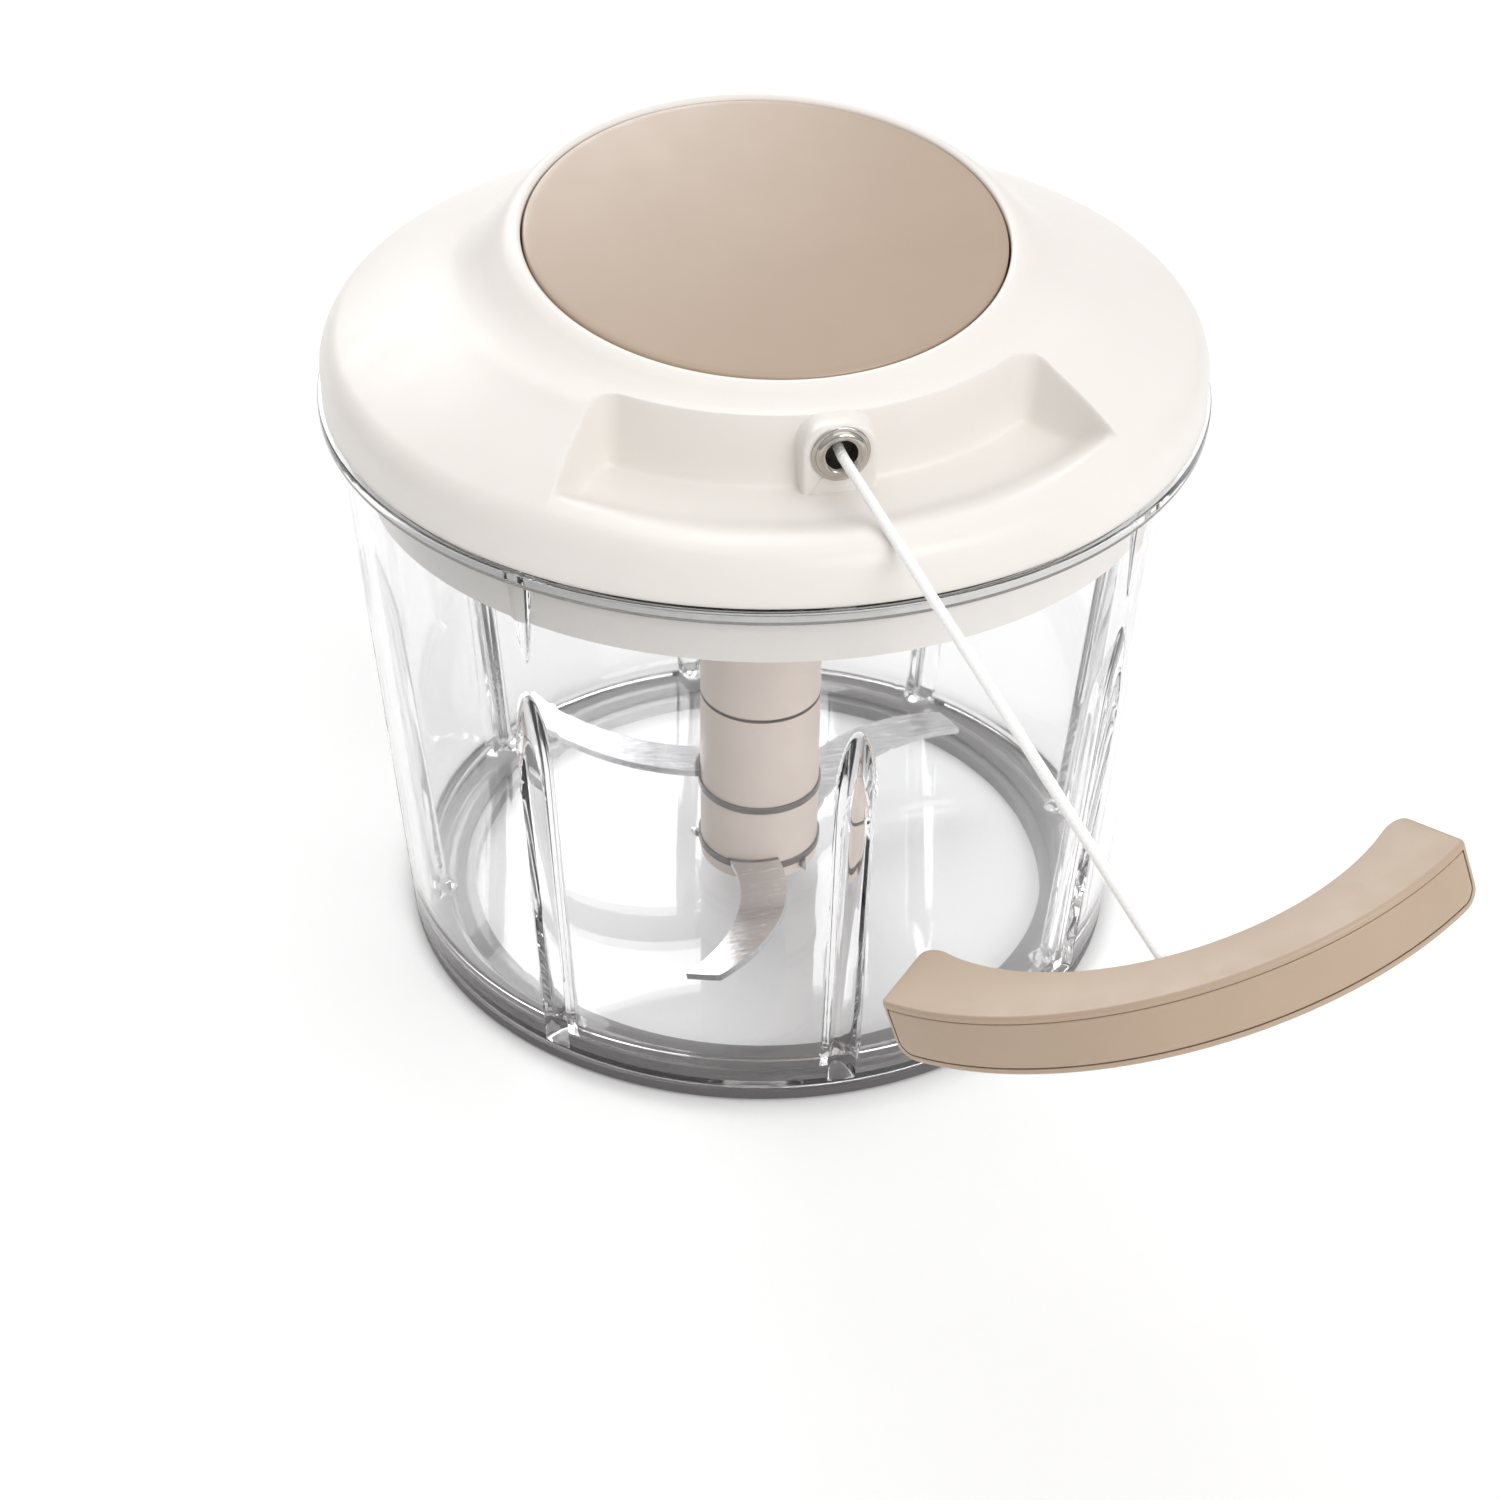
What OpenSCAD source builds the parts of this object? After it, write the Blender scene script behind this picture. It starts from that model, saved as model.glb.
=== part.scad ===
// Pull-string food chopper: clear fluted bowl, lid with a cord reel, curved pull handle.
// Millimetres. The origin is the centre of the base, +Z is up and the cord leaves towards -Y.
// The handle is shown pulled out on its cord.

// Part to draw

/* [Bowl] */
// Height of the bowl rim above the table
bowl_h = 103; // [85:1:130]
// Width of the rim flange beyond the wall
rim_over = 2.4; // [1:0.1:5]
// Thickness of the rim flange
bowl_rim_t = 2.2; // [1.5:0.1:4]
// Outer radius of the wall at the table
bowl_base_r = 62.2; // [54:0.1:66]
// Outer radius of the wall at the rim
bowl_top_r = 69.6; // [64:0.1:70]
// Thickness of the wall
bowl_wall_t = 2.5; // [2:0.1:4]
// Thickness of the floor
bowl_floor_t = 2.3; // [1.8:0.1:4]
// Size of the bevel where wall and floor meet
bowl_corner = 5; // [2:0.5:10]
// Height of the grip ring under the bowl
grip_h = 2.5; // [1.5:0.1:5]
// Width of the grip ring
grip_w = 11; // [8:0.5:16]

/* [Flutes] */
// Number of flutes pressed into the wall
flute_count = 8; // [4:1:12]
// Number of flat sides of a flute and of the ridge behind it
flute_sides = 12; // [8:2:12]
// Radius of a flute
flute_r = 1.8; // [1.2:0.1:2.4]
// Depth of a flute at its lower end
flute_deep = 4.6; // [3:0.1:6]
// Height of a flute's lower end
flute_low_z = 4.5; // [4:0.1:12]
// Height of a flute's pointed upper end
flute_tip_z = 70; // [50:0.5:75]
// Radius of the ridge inside the wall behind each flute
ridge_r = 3.1; // [2.6:0.1:5]
// Thickness between a flute and its ridge at the lower end
ridge_t = 1.8; // [1.2:0.1:3]
// Distance that the ridge's point lies above the flute's
ridge_over = 8; // [4:0.5:10]
// Length of the tapered rib inside the wall above each ridge
rib_len = 14; // [6:0.5:14]
// Clearance between the plug and those ribs
rib_clear = 0.35; // [0.2:0.05:0.6]

/* [Lid] */
// Distance of the brim inside the edge of the rim flange
brim_inset = 0.7; // [0:0.1:2]
// Wall thickness of the lid
lid_t = 2.2; // [1.6:0.1:3]
// Clearance between the plug's foot and the bowl's wall
plug_gap = 1.38; // [0.8:0.02:4]
// Depth of the plug below the rim
plug_depth = 12.5; // [6:0.5:16]
// Radius of the round cap in the top
cap_r = 38.3; // [30:0.1:42]
// Height of the cap's centre above the rim
cap_rise = 24.7; // [22:0.1:30]
// Tilt of the cap towards the cord side
cap_tilt = 8; // [0:0.5:10]
// Thickness of the cap
cap_t = 2.5; // [2:0.1:4]
// Gap round the cap
cap_gap = 0.35; // [0.2:0.05:0.8]

/* [Handle recess] */
// Distance of the recess's back wall from the brim
recess_in = 23.3; // [19:0.1:25]
// Height of the recess floor above the rim
recess_rise = 6.5; // [5:0.1:8]
// Half of the angle that the recess covers
recess_half = 36; // [30:1:40]
// Radius of the recess's rounded ends
recess_end_r = 8.5; // [6:0.1:10]
// Width of the boss round the eyelet
boss_w = 14; // [11:0.5:18]
// Height of the eyelet above the rim
eyelet_rise = 13.2; // [12:0.1:14]
// Outer radius of the eyelet's rolled rim
eyelet_r = 4.85; // [4:0.05:5.5]
// Thickness of the eyelet's rolled rim
eyelet_roll = 2; // [1.4:0.1:2.4]

/* [Cord and reel] */
// Diameter of the cord
cord_d = 1.5; // [1.2:0.1:2.4]
// Radius of the reel's drum
drum_r = 15.25; // [12:0.25:16]
// Radius of the reel's flanges
reel_r = 21; // [18:0.5:23]
// Number of turns of the recoil spring
spring_turns = 4; // [2:1:5]
// Thickness of the spring strip
spring_t = 0.5; // [0.3:0.05:0.6]

/* [Spindle and blades] */
// Radius of the spindle
spindle_r = 10.5; // [8:0.1:12]
// Height of the seam between the drive collar and the upper hub
collar_seam_z = 41; // [36:0.5:48]
// Height of the upper blade
upper_blade_z = 22; // [18:0.5:28]
// Height of the lower blade
lower_blade_z = 9.6; // [9:0.1:14]
// Radius that the blade tips sweep
blade_r = 46; // [30:0.5:48]
// Thickness of a blade
blade_t = 1.2; // [0.8:0.1:2]
// Rise of the blades towards their tips
blade_rise = 5; // [0:0.5:8]

/* [Handle] */
// Radius of the handle's outer face
handle_out_r = 50; // [47:0.5:54]
// Radius of the handle's inner face
handle_in_r = 34; // [31:0.5:36]
// Thickness of the handle in its middle
handle_mid_t = 9.8; // [9.6:0.1:11]
// Half of the angle that the outer face covers
handle_half = 50; // [44:1:52]
// Lean of the handle's ends from its middle line
handle_end_lean = 30; // [24:1:36]
// Height of the handle
handle_t = 8.8; // [8.4:0.1:10]
// Radius of the handle's inner corners
handle_corner = 2.2; // [1:0.1:2.6]
// Radius of the lower corners of the handle's ends
handle_end_round = 3; // [2:0.1:3.5]
// Border left round the cover in the outer face
cover_border = 1.2; // [0.8:0.1:2]
// Radius of the bead on the end of the cord
bead_r = 2.4; // [1.8:0.1:2.8]

/* [Hidden] */
$fn = 96;
eps = 0.01;
// clearances: running fit, snug fit
run_gap = 0.05;
fit_gap = 0.02;
far = 200;

// bowl
floor_z = grip_h + bowl_floor_t;
wall_slope = atan((bowl_top_r - bowl_base_r) / bowl_h);
grip_in_r = bowl_base_r - grip_w;
grip_lip_r = grip_in_r + 2;
grip_lip_w = 2;
grip_lip_h = 1.1;
pin_r = 2.5;
pin_low_z = grip_h + 1.1;
pin_top_z = 34;
pin_boss_r = 4.5;
pin_boss_z = floor_z + 1.4;
bowl_rim_r = bowl_top_r + rim_over;
function wall_r(z) = bowl_base_r + (bowl_top_r - bowl_base_r) * z / bowl_h;
rib_seal_gap = 0.3;

// lid outline, radius and height: the brim's foot and shoulder, then the dome, whose radius
// is given as a share of the way from the collar round the cap to the shoulder
lid_r = bowl_rim_r - brim_inset;
shoulder_r = lid_r - 1.4;
collar_r = cap_r + 1.5;
dome_line = [[0.864, 9.5], [0.701, 12.5], [0.522, 16], [0.329, 20], [0.136, 25], [0.03, 29.5], [0, 34]];
lid_line = [[lid_r, bowl_h], [lid_r, bowl_h + 5.2], [lid_r - 0.4, bowl_h + 6.6],
    [shoulder_r, bowl_h + 7.7],
    for (p = dome_line) [collar_r + p[0] * (shoulder_r - collar_r), bowl_h + p[1]]];
plug_z = bowl_h - plug_depth;
plug_r = wall_r(plug_z) - bowl_wall_t - plug_gap;
cavity_r = plug_r + 0.1;
cavity_line = [[0, bowl_h - 1], [cavity_r, bowl_h - 1], [cavity_r, bowl_h + 4.5],
    for (i = [4 : 10]) [lid_line[i][0] - lid_t, lid_line[i][1] - 0.8 * lid_t],
    [0, lid_line[10][1] - 0.8 * lid_t]];
cap_z = bowl_h + cap_rise;
cap_ledge_t = 2;
cap_open_r = cap_r - 3.3;
cap_skirt_h = 2.6;
recess_r = lid_r - recess_in;
recess_z = bowl_h + recess_rise;
recess_end_at = recess_r + recess_end_r - 0.5;
eyelet_z = bowl_h + eyelet_rise;
boss_out = recess_r + 2.3;
boss_top_z = eyelet_z + 5.6;
boss_corner = 4;
eyelet_out = recess_r + 3.5;
eyelet_in = recess_r - 5.5;
eyelet_hole_r = eyelet_r - eyelet_roll;
eyelet_tube_r = eyelet_hole_r + 0.65;
plate_z = plug_z + lid_t;
plug_wall = 3.2;
plug_top_z = bowl_h + 3.5;
seal_z = bowl_h - 5.2;
seal_h = 2.4;
seal_in_r = plug_r - 1.6;
seal_out_r = wall_r(seal_z) - bowl_wall_t - run_gap;
lid_screw_at = plug_r - 13;
lid_screw_turn = [0, 90, 180];
post_r = 4;
post_top_z = lookup(lid_screw_at + post_r, lid_line) - lid_t;
screw_r = 1.5;
screw_head_r = 3;
screw_head_h = 1.1;
screw_sink = 0.1;
screw_len = 9;

// reel and drive, from the drive collar upwards
shaft_r = 6;
hub_tube_r = spindle_r + 5;
bush_r = spindle_r + 2;
bush_top_z = plug_z + 6;
ring_z = bush_top_z + 0.3;
ring_t = 1.2;
ring_r = spindle_r + 3.5;
ratchet_z = bowl_h + 3.4;
ratchet_h = 3.6;
ratchet_r = 13;
ratchet_teeth = 12;
axle_r = 3;
axle_low_z = bowl_h - 0.2;
cord_r = cord_d / 2;
groove_half = cord_r + 0.3;
flange_t = 1.5;
reel_low_z = eyelet_z - groove_half - flange_t;
reel_top_z = eyelet_z + groove_half + flange_t;
drum_t = 2.3;
drum_floor_t = 1.5;
reel_hub_r = 5;
pawl_at = 17.5;
pawl_post_r = 1.4;
pawl_low_z = ratchet_z + 0.3;
pawl_h = 3;
bridge_z = reel_top_z + 0.5;
bridge_t = 1.8;
bridge_r = 14;
bridge_arm_w = 6;
bridge_leg_at = 28;
bridge_leg_r = 3.2;
bridge_turn = [90, 210, 330];
bridge_boss_r = 4.6;
spring_low_z = reel_low_z + drum_floor_t + 0.3;
spring_h = 3.2;
spring_in_r = bridge_boss_r + 0.5;
spring_out_r = drum_r - drum_t - spring_t / 2 - 0.02;
spring_steps = 24;
wind_r = drum_r + cord_r;
wind_gap = 0.4;

// spindle
hex_r = 5.2;
hex_len = 12;
core_r = 6;
foot_z = pin_boss_z + 0.4;
collar_z = collar_seam_z + 0.2;
hub_top_z = collar_seam_z - 0.2;
blade_ring_r = spindle_r + 0.4;

// cord: where it bends inside, where it leaves the eyelet, and the handle pulled out on it
lead_bend = [0, -(recess_r - 5), eyelet_z];
lead_angle = asin(wind_r / (recess_r - 5));
lead_way = [-sin(lead_angle), -cos(lead_angle), 0];
lead_leave = [wind_r * cos(lead_angle), -wind_r * sin(lead_angle), eyelet_z];
lead_off = sqrt((wind_r + cord_r + wind_gap) ^ 2 - (wind_r - cord_r) ^ 2);
cord_exit = [0, -eyelet_out, eyelet_z];
bead_pos = [18.727, -155.897, bowl_h - 6.31];
handle_turn = [-15, -16, -14];
bead_depth = 4.5;
handle_mid_r = handle_out_r - handle_mid_t;
bead_in_handle = [0, -(handle_mid_r + bead_depth), -handle_t / 2];
function turn_x(p, a) = [p[0], p[1] * cos(a) - p[2] * sin(a), p[1] * sin(a) + p[2] * cos(a)];
function turn_y(p, a) = [p[0] * cos(a) + p[2] * sin(a), p[1], -p[0] * sin(a) + p[2] * cos(a)];
function turn_z(p, a) = [p[0] * cos(a) - p[1] * sin(a), p[0] * sin(a) + p[1] * cos(a), p[2]];
function in_hand(p) = turn_x(turn_y(turn_z(p, handle_turn[2]), handle_turn[1]), handle_turn[0]);
function off_hand(v) =
    turn_z(turn_y(turn_x(v, -handle_turn[0]), -handle_turn[1]), -handle_turn[2]);
handle_pos = bead_pos - in_hand(bead_in_handle);
cord_way = bead_pos - cord_exit;
cord_len = norm(cord_way);
cord_unit = cord_way / cord_len;
cord_in_handle = off_hand(cord_unit);
keeper_half = 7;
cord_hole_r = cord_r + 0.4;
cord_hole_l = bead_depth + 2;
cord_mid = ([0, 1, 0] - cord_in_handle) / norm([0, 1, 0] - cord_in_handle);
cord_spread = acos(cord_mid[1]);

// handle in its own frame: the outer face curves about the origin, the inner one about a nearer point
handle_in_y = handle_mid_r - handle_in_r;
handle_tip = [handle_out_r * sin(handle_half), -handle_out_r * cos(handle_half)];
end_way = [sin(handle_end_lean), -cos(handle_end_lean)];
end_out = [cos(handle_end_lean), sin(handle_end_lean)];
// middle of the circle that rounds an inner corner: so far from the end and from the inner face
corner_from = handle_tip - handle_corner * end_out + [0, handle_in_y];
corner_run = -corner_from * end_way
    + sqrt((corner_from * end_way) ^ 2 - corner_from * corner_from + (handle_in_r + handle_corner) ^ 2);
corner_off = corner_from + corner_run * end_way;
corner_at = corner_off - [0, handle_in_y];
corner_turn = atan2(-corner_off[1], -corner_off[0]) - handle_end_lean;

// colours
clear_c = [0.86, 0.89, 0.92, 0.35];
grip_c = [0.55, 0.57, 0.6];
cream_c = [0.93, 0.91, 0.88];
taupe_c = [0.7, 0.64, 0.57];
handle_c = [0.6, 0.53, 0.46];
grey_c = [0.79, 0.77, 0.75];
steel_c = [0.78, 0.79, 0.8];
nickel_c = [0.74, 0.72, 0.68];
white_c = [0.96, 0.96, 0.95];
seal_c = [0.85, 0.85, 0.83];
black_c = [0.2, 0.2, 0.21];

// a ring or tube standing on z
module tube(z, h, r_out, r_in) {
    translate([0, 0, z]) difference() {
        cylinder(h = h, r = r_out);
        translate([0, 0, -eps]) cylinder(h = h + 2 * eps, r = r_in);
    }
}

// a straight round bar between two points
module bar(a, b, r, r_end = 0) {
    v = b - a;
    translate(a)
        rotate([0, acos(v[2] / norm(v)), atan2(v[1], v[0])])
            cylinder(h = norm(v), r1 = r, r2 = r_end > 0 ? r_end : r);
}

// everything within an angle either side of -Y
module wedge(half) {
    intersection() {
        rotate([0, 0, half]) translate([-far, -far, -far]) cube([far, far, 3 * far]);
        rotate([0, 0, -half]) translate([0, -far, -far]) cube([far, far, 3 * far]);
    }
}

// wider than a right angle needs no cut: the part in front of two slanted planes
module sector(half) {
    difference() {
        translate([-far, -far, -far]) cube([2 * far, 2 * far, 2 * far]);
        rotate([0, 0, half]) translate([0, -far, -far]) cube([far, 2 * far, 2 * far]);
        rotate([0, 0, -half]) translate([-far, -far, -far]) cube([far, 2 * far, 2 * far]);
    }
}

// one flute or ridge: a many-sided bar that leans out of the wall as it rises, its inner side so deep
// in the wall at the lower end and at the point, and longer by the given lengths at foot and tip
module flute_bar(r, deep, tip_deep, tip_z, foot, tip) {
    low_r = wall_r(flute_low_z) - deep + r;
    tip_r = wall_r(tip_z) - tip_deep + r;
    lean = atan((tip_r - low_r) / (tip_z - flute_low_z));
    translate([0, -low_r, flute_low_z]) rotate([lean, 0, 0]) translate([0, 0, -foot])
        cylinder(h = (tip_z - flute_low_z) / cos(lean) + foot + tip, r = r, $fn = flute_sides);
}

// the bowl's outside as a solid, with the flutes cut in
module bowl_outside() {
    difference() {
        rotate_extrude() polygon([[0, grip_h], [wall_r(grip_h), grip_h],
            [wall_r(bowl_h - bowl_rim_t), bowl_h - bowl_rim_t],
            [bowl_rim_r, bowl_h - bowl_rim_t], [bowl_rim_r, bowl_h], [0, bowl_h]]);
        for (i = [0 : flute_count - 1]) rotate([0, 0, i * 360 / flute_count])
            flute_bar(flute_r, flute_deep, 0, flute_tip_z, 0, 6);
    }
}

// the room inside the bowl, less the ridges behind the flutes, the ribs below the seal and the pin's boss
module bowl_inside() {
    in_low = wall_r(floor_z) - bowl_wall_t;
    rib_z = seal_z - rib_seal_gap - rib_len;
    difference() {
        rotate_extrude() polygon([[0, floor_z], [in_low - bowl_corner, floor_z],
            [in_low - 0.3 * bowl_corner, floor_z + 0.3 * bowl_corner],
            [wall_r(floor_z + bowl_corner) - bowl_wall_t, floor_z + bowl_corner],
            [wall_r(bowl_h + 1) - bowl_wall_t, bowl_h + 1], [0, bowl_h + 1]]);
        for (i = [0 : flute_count - 1]) rotate([0, 0, i * 360 / flute_count]) {
            flute_bar(ridge_r, flute_deep + ridge_t, bowl_wall_t, flute_tip_z + ridge_over, 3, 4);
            translate([0, bowl_wall_t - wall_r(rib_z), rib_z]) rotate([wall_slope, 0, 0])
                cylinder(h = rib_len, r1 = 0.2, r2 = plug_gap - rib_clear);
        }
        cylinder(h = pin_boss_z, r = pin_boss_r);
    }
}

module bowl() color(clear_c) difference() {
    bowl_outside();
    bowl_inside();
    translate([0, 0, pin_low_z]) cylinder(h = far, r = pin_r + fit_gap);
    tube(grip_h - eps, grip_lip_h + 0.1, grip_lip_r + grip_lip_w + run_gap, grip_lip_r - run_gap);
}

module base_grip_ring() color(grip_c) rotate_extrude() polygon([[grip_in_r, 0],
    [bowl_base_r - 0.6, 0], [bowl_base_r, 0.6], [wall_r(grip_h), grip_h],
    [grip_lip_r + grip_lip_w, grip_h], [grip_lip_r + grip_lip_w, grip_h + grip_lip_h],
    [grip_lip_r, grip_h + grip_lip_h], [grip_lip_r, grip_h], [grip_in_r, grip_h]]);

module pivot_pin() color(steel_c) {
    translate([0, 0, pin_low_z]) cylinder(h = pin_top_z - pin_low_z - 1, r = pin_r);
    translate([0, 0, pin_top_z - 1 - eps]) cylinder(h = 1, r1 = pin_r, r2 = pin_r - 0.8);
}

// the half-space above the cap's plane, lifted along the cap's own axis
module above_cap(lift) {
    translate([0, 0, cap_z]) rotate([cap_tilt, 0, 0])
        translate([-far, -far, lift]) cube([2 * far, 2 * far, far]);
}

// the handle recess, grown by g all round: a curved back wall, rounded corners, open at the brim
module recess(g) {
    difference() {
        translate([0, 0, recess_z - g]) union() {
            intersection() {
                cylinder(h = far, r = far);
                wedge(recess_half);
            }
            for (s = [-1, 1]) rotate([0, 0, s * recess_half]) {
                translate([0, -recess_end_at, 0]) cylinder(h = far, r = recess_end_r + g);
                translate([min(s, 0) * (recess_end_r + g), -far, 0])
                    cube([recess_end_r + g, far - recess_end_at, far]);
            }
        }
        cylinder(h = 2 * far, r = recess_r - g);
    }
}

module eyelet_boss() {
    translate([-boss_w / 2, -boss_out, recess_z - eps])
        cube([boss_w, boss_out - recess_r + 1.5, boss_top_z - boss_corner - recess_z]);
    translate([-boss_w / 2 + boss_corner, -boss_out, recess_z])
        cube([boss_w - 2 * boss_corner, boss_out - recess_r + 1.5, boss_top_z - recess_z]);
    for (s = [-1, 1])
        translate([s * (boss_w / 2 - boss_corner), -boss_out, boss_top_z - boss_corner])
            rotate([-90, 0, 0]) cylinder(h = boss_out - recess_r + 1.5, r = boss_corner);
}

module lid_housing() color(cream_c) difference() {
    union() {
        difference() {
            rotate_extrude() polygon([[0, bowl_h], each lid_line, [0, lid_line[10][1]]]);
            above_cap(0);
            recess(0);
            difference() {
                rotate_extrude() polygon(cavity_line);
                above_cap(-cap_t - cap_ledge_t);
                recess(lid_t);
            }
        }
        intersection() {
            eyelet_boss();
            difference() {
                cylinder(h = far, r = far);
                above_cap(0);
            }
        }
        for (a = lid_screw_turn) rotate([0, 0, a]) translate([lid_screw_at, 0, plate_z])
            cylinder(h = post_top_z - plate_z, r = post_r);
    }
    translate([0, 0, cap_z]) rotate([cap_tilt, 0, 0]) {
        translate([0, 0, -cap_t]) cylinder(h = far, r = cap_r + cap_gap);
        translate([0, 0, -cap_t - cap_ledge_t - 6]) cylinder(h = far, r = cap_open_r);
    }
    translate([0, 0, eyelet_z]) rotate([90, 0, 0]) {
        cylinder(h = far, r = eyelet_tube_r + run_gap);
        translate([0, 0, eyelet_out - eyelet_roll - 0.1]) cylinder(h = far, r = eyelet_r + run_gap);
    }
    for (a = lid_screw_turn) rotate([0, 0, a]) translate([lid_screw_at, 0, plate_z - eps])
        cylinder(h = screw_len, r = screw_r + fit_gap);
}

module top_cap() color(taupe_c) translate([0, 0, cap_z]) rotate([cap_tilt, 0, 0]) {
    translate([0, 0, -cap_t]) cylinder(h = cap_t - 0.5, r = cap_r);
    translate([0, 0, -0.5 - eps]) cylinder(h = 0.5, r1 = cap_r, r2 = cap_r - 0.4);
    tube(-cap_t - cap_skirt_h, cap_skirt_h + eps, cap_open_r - 0.1, cap_open_r - 2.1);
}

module lid_base() color(cream_c) difference() {
    union() {
        translate([0, 0, plug_z]) cylinder(h = lid_t, r = plug_r);
        tube(plug_z, plug_top_z - plug_z, plug_r, plug_r - plug_wall);
        translate([0, 0, plug_z]) cylinder(h = bush_top_z - plug_z, r = hub_tube_r);
    }
    tube(seal_z, seal_h, far, seal_in_r - fit_gap);
    translate([0, 0, plug_z - eps]) cylinder(h = far, r = bush_r + fit_gap);
    for (a = lid_screw_turn) rotate([0, 0, a]) translate([lid_screw_at, 0, plug_z - eps])
        screw_hole();
    for (a = bridge_turn) rotate([0, 0, a]) translate([bridge_leg_at, 0, plug_z - eps])
        screw_hole();
}

module screw_hole() {
    cylinder(h = screw_sink + screw_head_h + eps, r = screw_head_r + 0.3);
    cylinder(h = lid_t + 1, r = screw_r + 0.1);
}

module lid_seal() color(seal_c) tube(seal_z + 0.05, seal_h - 0.1, seal_out_r, seal_in_r);

// a screw from below through the plug's plate
module screw(at, turn) {
    color(steel_c) rotate([0, 0, turn]) translate([at, 0, plug_z + screw_sink]) difference() {
        union() {
            cylinder(h = screw_head_h, r = screw_head_r);
            cylinder(h = screw_len, r = screw_r);
        }
        for (a = [0, 90]) rotate([0, 0, a]) translate([-2, -0.4, -eps]) cube([4, 0.8, 0.6]);
    }
}
module lid_screw_1() screw(lid_screw_at, lid_screw_turn[0]);
module lid_screw_2() screw(lid_screw_at, lid_screw_turn[1]);
module lid_screw_3() screw(lid_screw_at, lid_screw_turn[2]);
module bridge_screw_1() screw(bridge_leg_at, bridge_turn[0]);
module bridge_screw_2() screw(bridge_leg_at, bridge_turn[1]);
module bridge_screw_3() screw(bridge_leg_at, bridge_turn[2]);

module cord_eyelet() color(nickel_c) translate([0, 0, eyelet_z]) rotate([90, 0, 0]) {
    translate([0, 0, eyelet_out - eyelet_roll / 2]) rotate_extrude()
        translate([eyelet_r - eyelet_roll / 2, 0]) circle(r = eyelet_roll / 2, $fn = 48);
    tube(eyelet_in, eyelet_out - eyelet_roll / 2 - eyelet_in, eyelet_tube_r, eyelet_hole_r);
}

module reel_bridge() color(grey_c) difference() {
    union() {
        translate([0, 0, bridge_z]) cylinder(h = bridge_t, r = bridge_r);
        translate([0, 0, spring_low_z]) cylinder(h = bridge_z - spring_low_z + eps, r = bridge_boss_r);
        for (a = bridge_turn) rotate([0, 0, a]) {
            translate([bridge_boss_r, -bridge_arm_w / 2, bridge_z])
                cube([bridge_leg_at - bridge_boss_r, bridge_arm_w, bridge_t]);
            translate([bridge_leg_at, 0, plate_z])
                cylinder(h = bridge_z + bridge_t - plate_z, r = bridge_leg_r);
        }
    }
    cylinder(h = far, r = axle_r + fit_gap);
    for (a = bridge_turn) rotate([0, 0, a]) translate([bridge_leg_at, 0, plate_z - eps])
        cylinder(h = screw_len, r = screw_r + fit_gap);
}

module reel_axle() color(steel_c) translate([0, 0, axle_low_z])
    cylinder(h = bridge_z + bridge_t - axle_low_z, r = axle_r);

module drive_bush() color(black_c) tube(plug_z, bush_top_z - plug_z, bush_r, spindle_r + run_gap);

// the stretch of cord between the reel and the eyelet's mouth
module cord_lead() color(white_c) {
    bar(lead_leave + lead_off * lead_way, lead_bend - cord_r / 2 * lead_way, cord_r);
    translate(lead_bend) sphere(r = cord_r * 1.15);
    bar(lead_bend - [0, cord_r / 2, 0], cord_exit, cord_r);
}

module cord_reel() color(grey_c) {
    difference() {
        union() {
            translate([0, 0, reel_low_z]) cylinder(h = flange_t, r = reel_r);
            translate([0, 0, reel_low_z]) cylinder(h = reel_top_z - reel_low_z, r = drum_r);
            translate([0, 0, reel_top_z - flange_t]) cylinder(h = flange_t, r = reel_r);
            translate([0, 0, ratchet_z + ratchet_h + 0.4])
                cylinder(h = reel_low_z - ratchet_z - ratchet_h, r = reel_hub_r);
        }
        translate([0, 0, reel_low_z + drum_floor_t]) cylinder(h = far, r = drum_r - drum_t);
        cylinder(h = far, r = axle_r + run_gap);
    }
    for (s = [0, 180]) rotate([0, 0, s]) translate([pawl_at, 0, pawl_low_z - 0.2])
        cylinder(h = reel_low_z - pawl_low_z + 0.2 + eps, r = pawl_post_r);
}

module wound_cord() color(white_c)
    tube(eyelet_z - cord_r, cord_d, wind_r + cord_r, drum_r + fit_gap);

// spiral strip, one end resting on the drum's wall
module recoil_spring() {
    n = spring_turns * spring_steps;
    grow = (spring_out_r - spring_in_r) / n;
    color(steel_c) translate([0, 0, spring_low_z]) linear_extrude(spring_h) polygon(concat(
        [for (i = [0 : n]) (spring_in_r + grow * i + spring_t / 2)
            * [cos(i * 360 / spring_steps), sin(i * 360 / spring_steps)]],
        [for (i = [n : -1 : 0]) (spring_in_r + grow * i - spring_t / 2)
            * [cos(i * 360 / spring_steps), sin(i * 360 / spring_steps)]]));
}

module pawl(turn) {
    color(steel_c) rotate([0, 0, turn]) translate([pawl_at, 0, pawl_low_z]) difference() {
        union() {
            cylinder(h = pawl_h, r = pawl_post_r + 1.1);
            rotate([0, 0, 40]) translate([-1, 0, 0]) cube([2, 6, pawl_h]);
        }
        translate([0, 0, -eps]) cylinder(h = far, r = pawl_post_r + run_gap);
    }
}
module pawl_1() pawl(0);
module pawl_2() pawl(180);

module drive_collar() color(grey_c) difference() {
    union() {
        translate([0, 0, collar_z]) cylinder(h = bush_top_z - collar_z, r = spindle_r);
        translate([0, 0, bush_top_z - eps])
            cylinder(h = ratchet_z + ratchet_h - bush_top_z, r = shaft_r);
    }
    translate([0, 0, collar_z - eps]) cylinder(h = hex_len + 1, r = hex_r + 0.12, $fn = 6);
    translate([0, 0, axle_low_z - 0.3]) cylinder(h = far, r = axle_r + run_gap);
}

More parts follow.
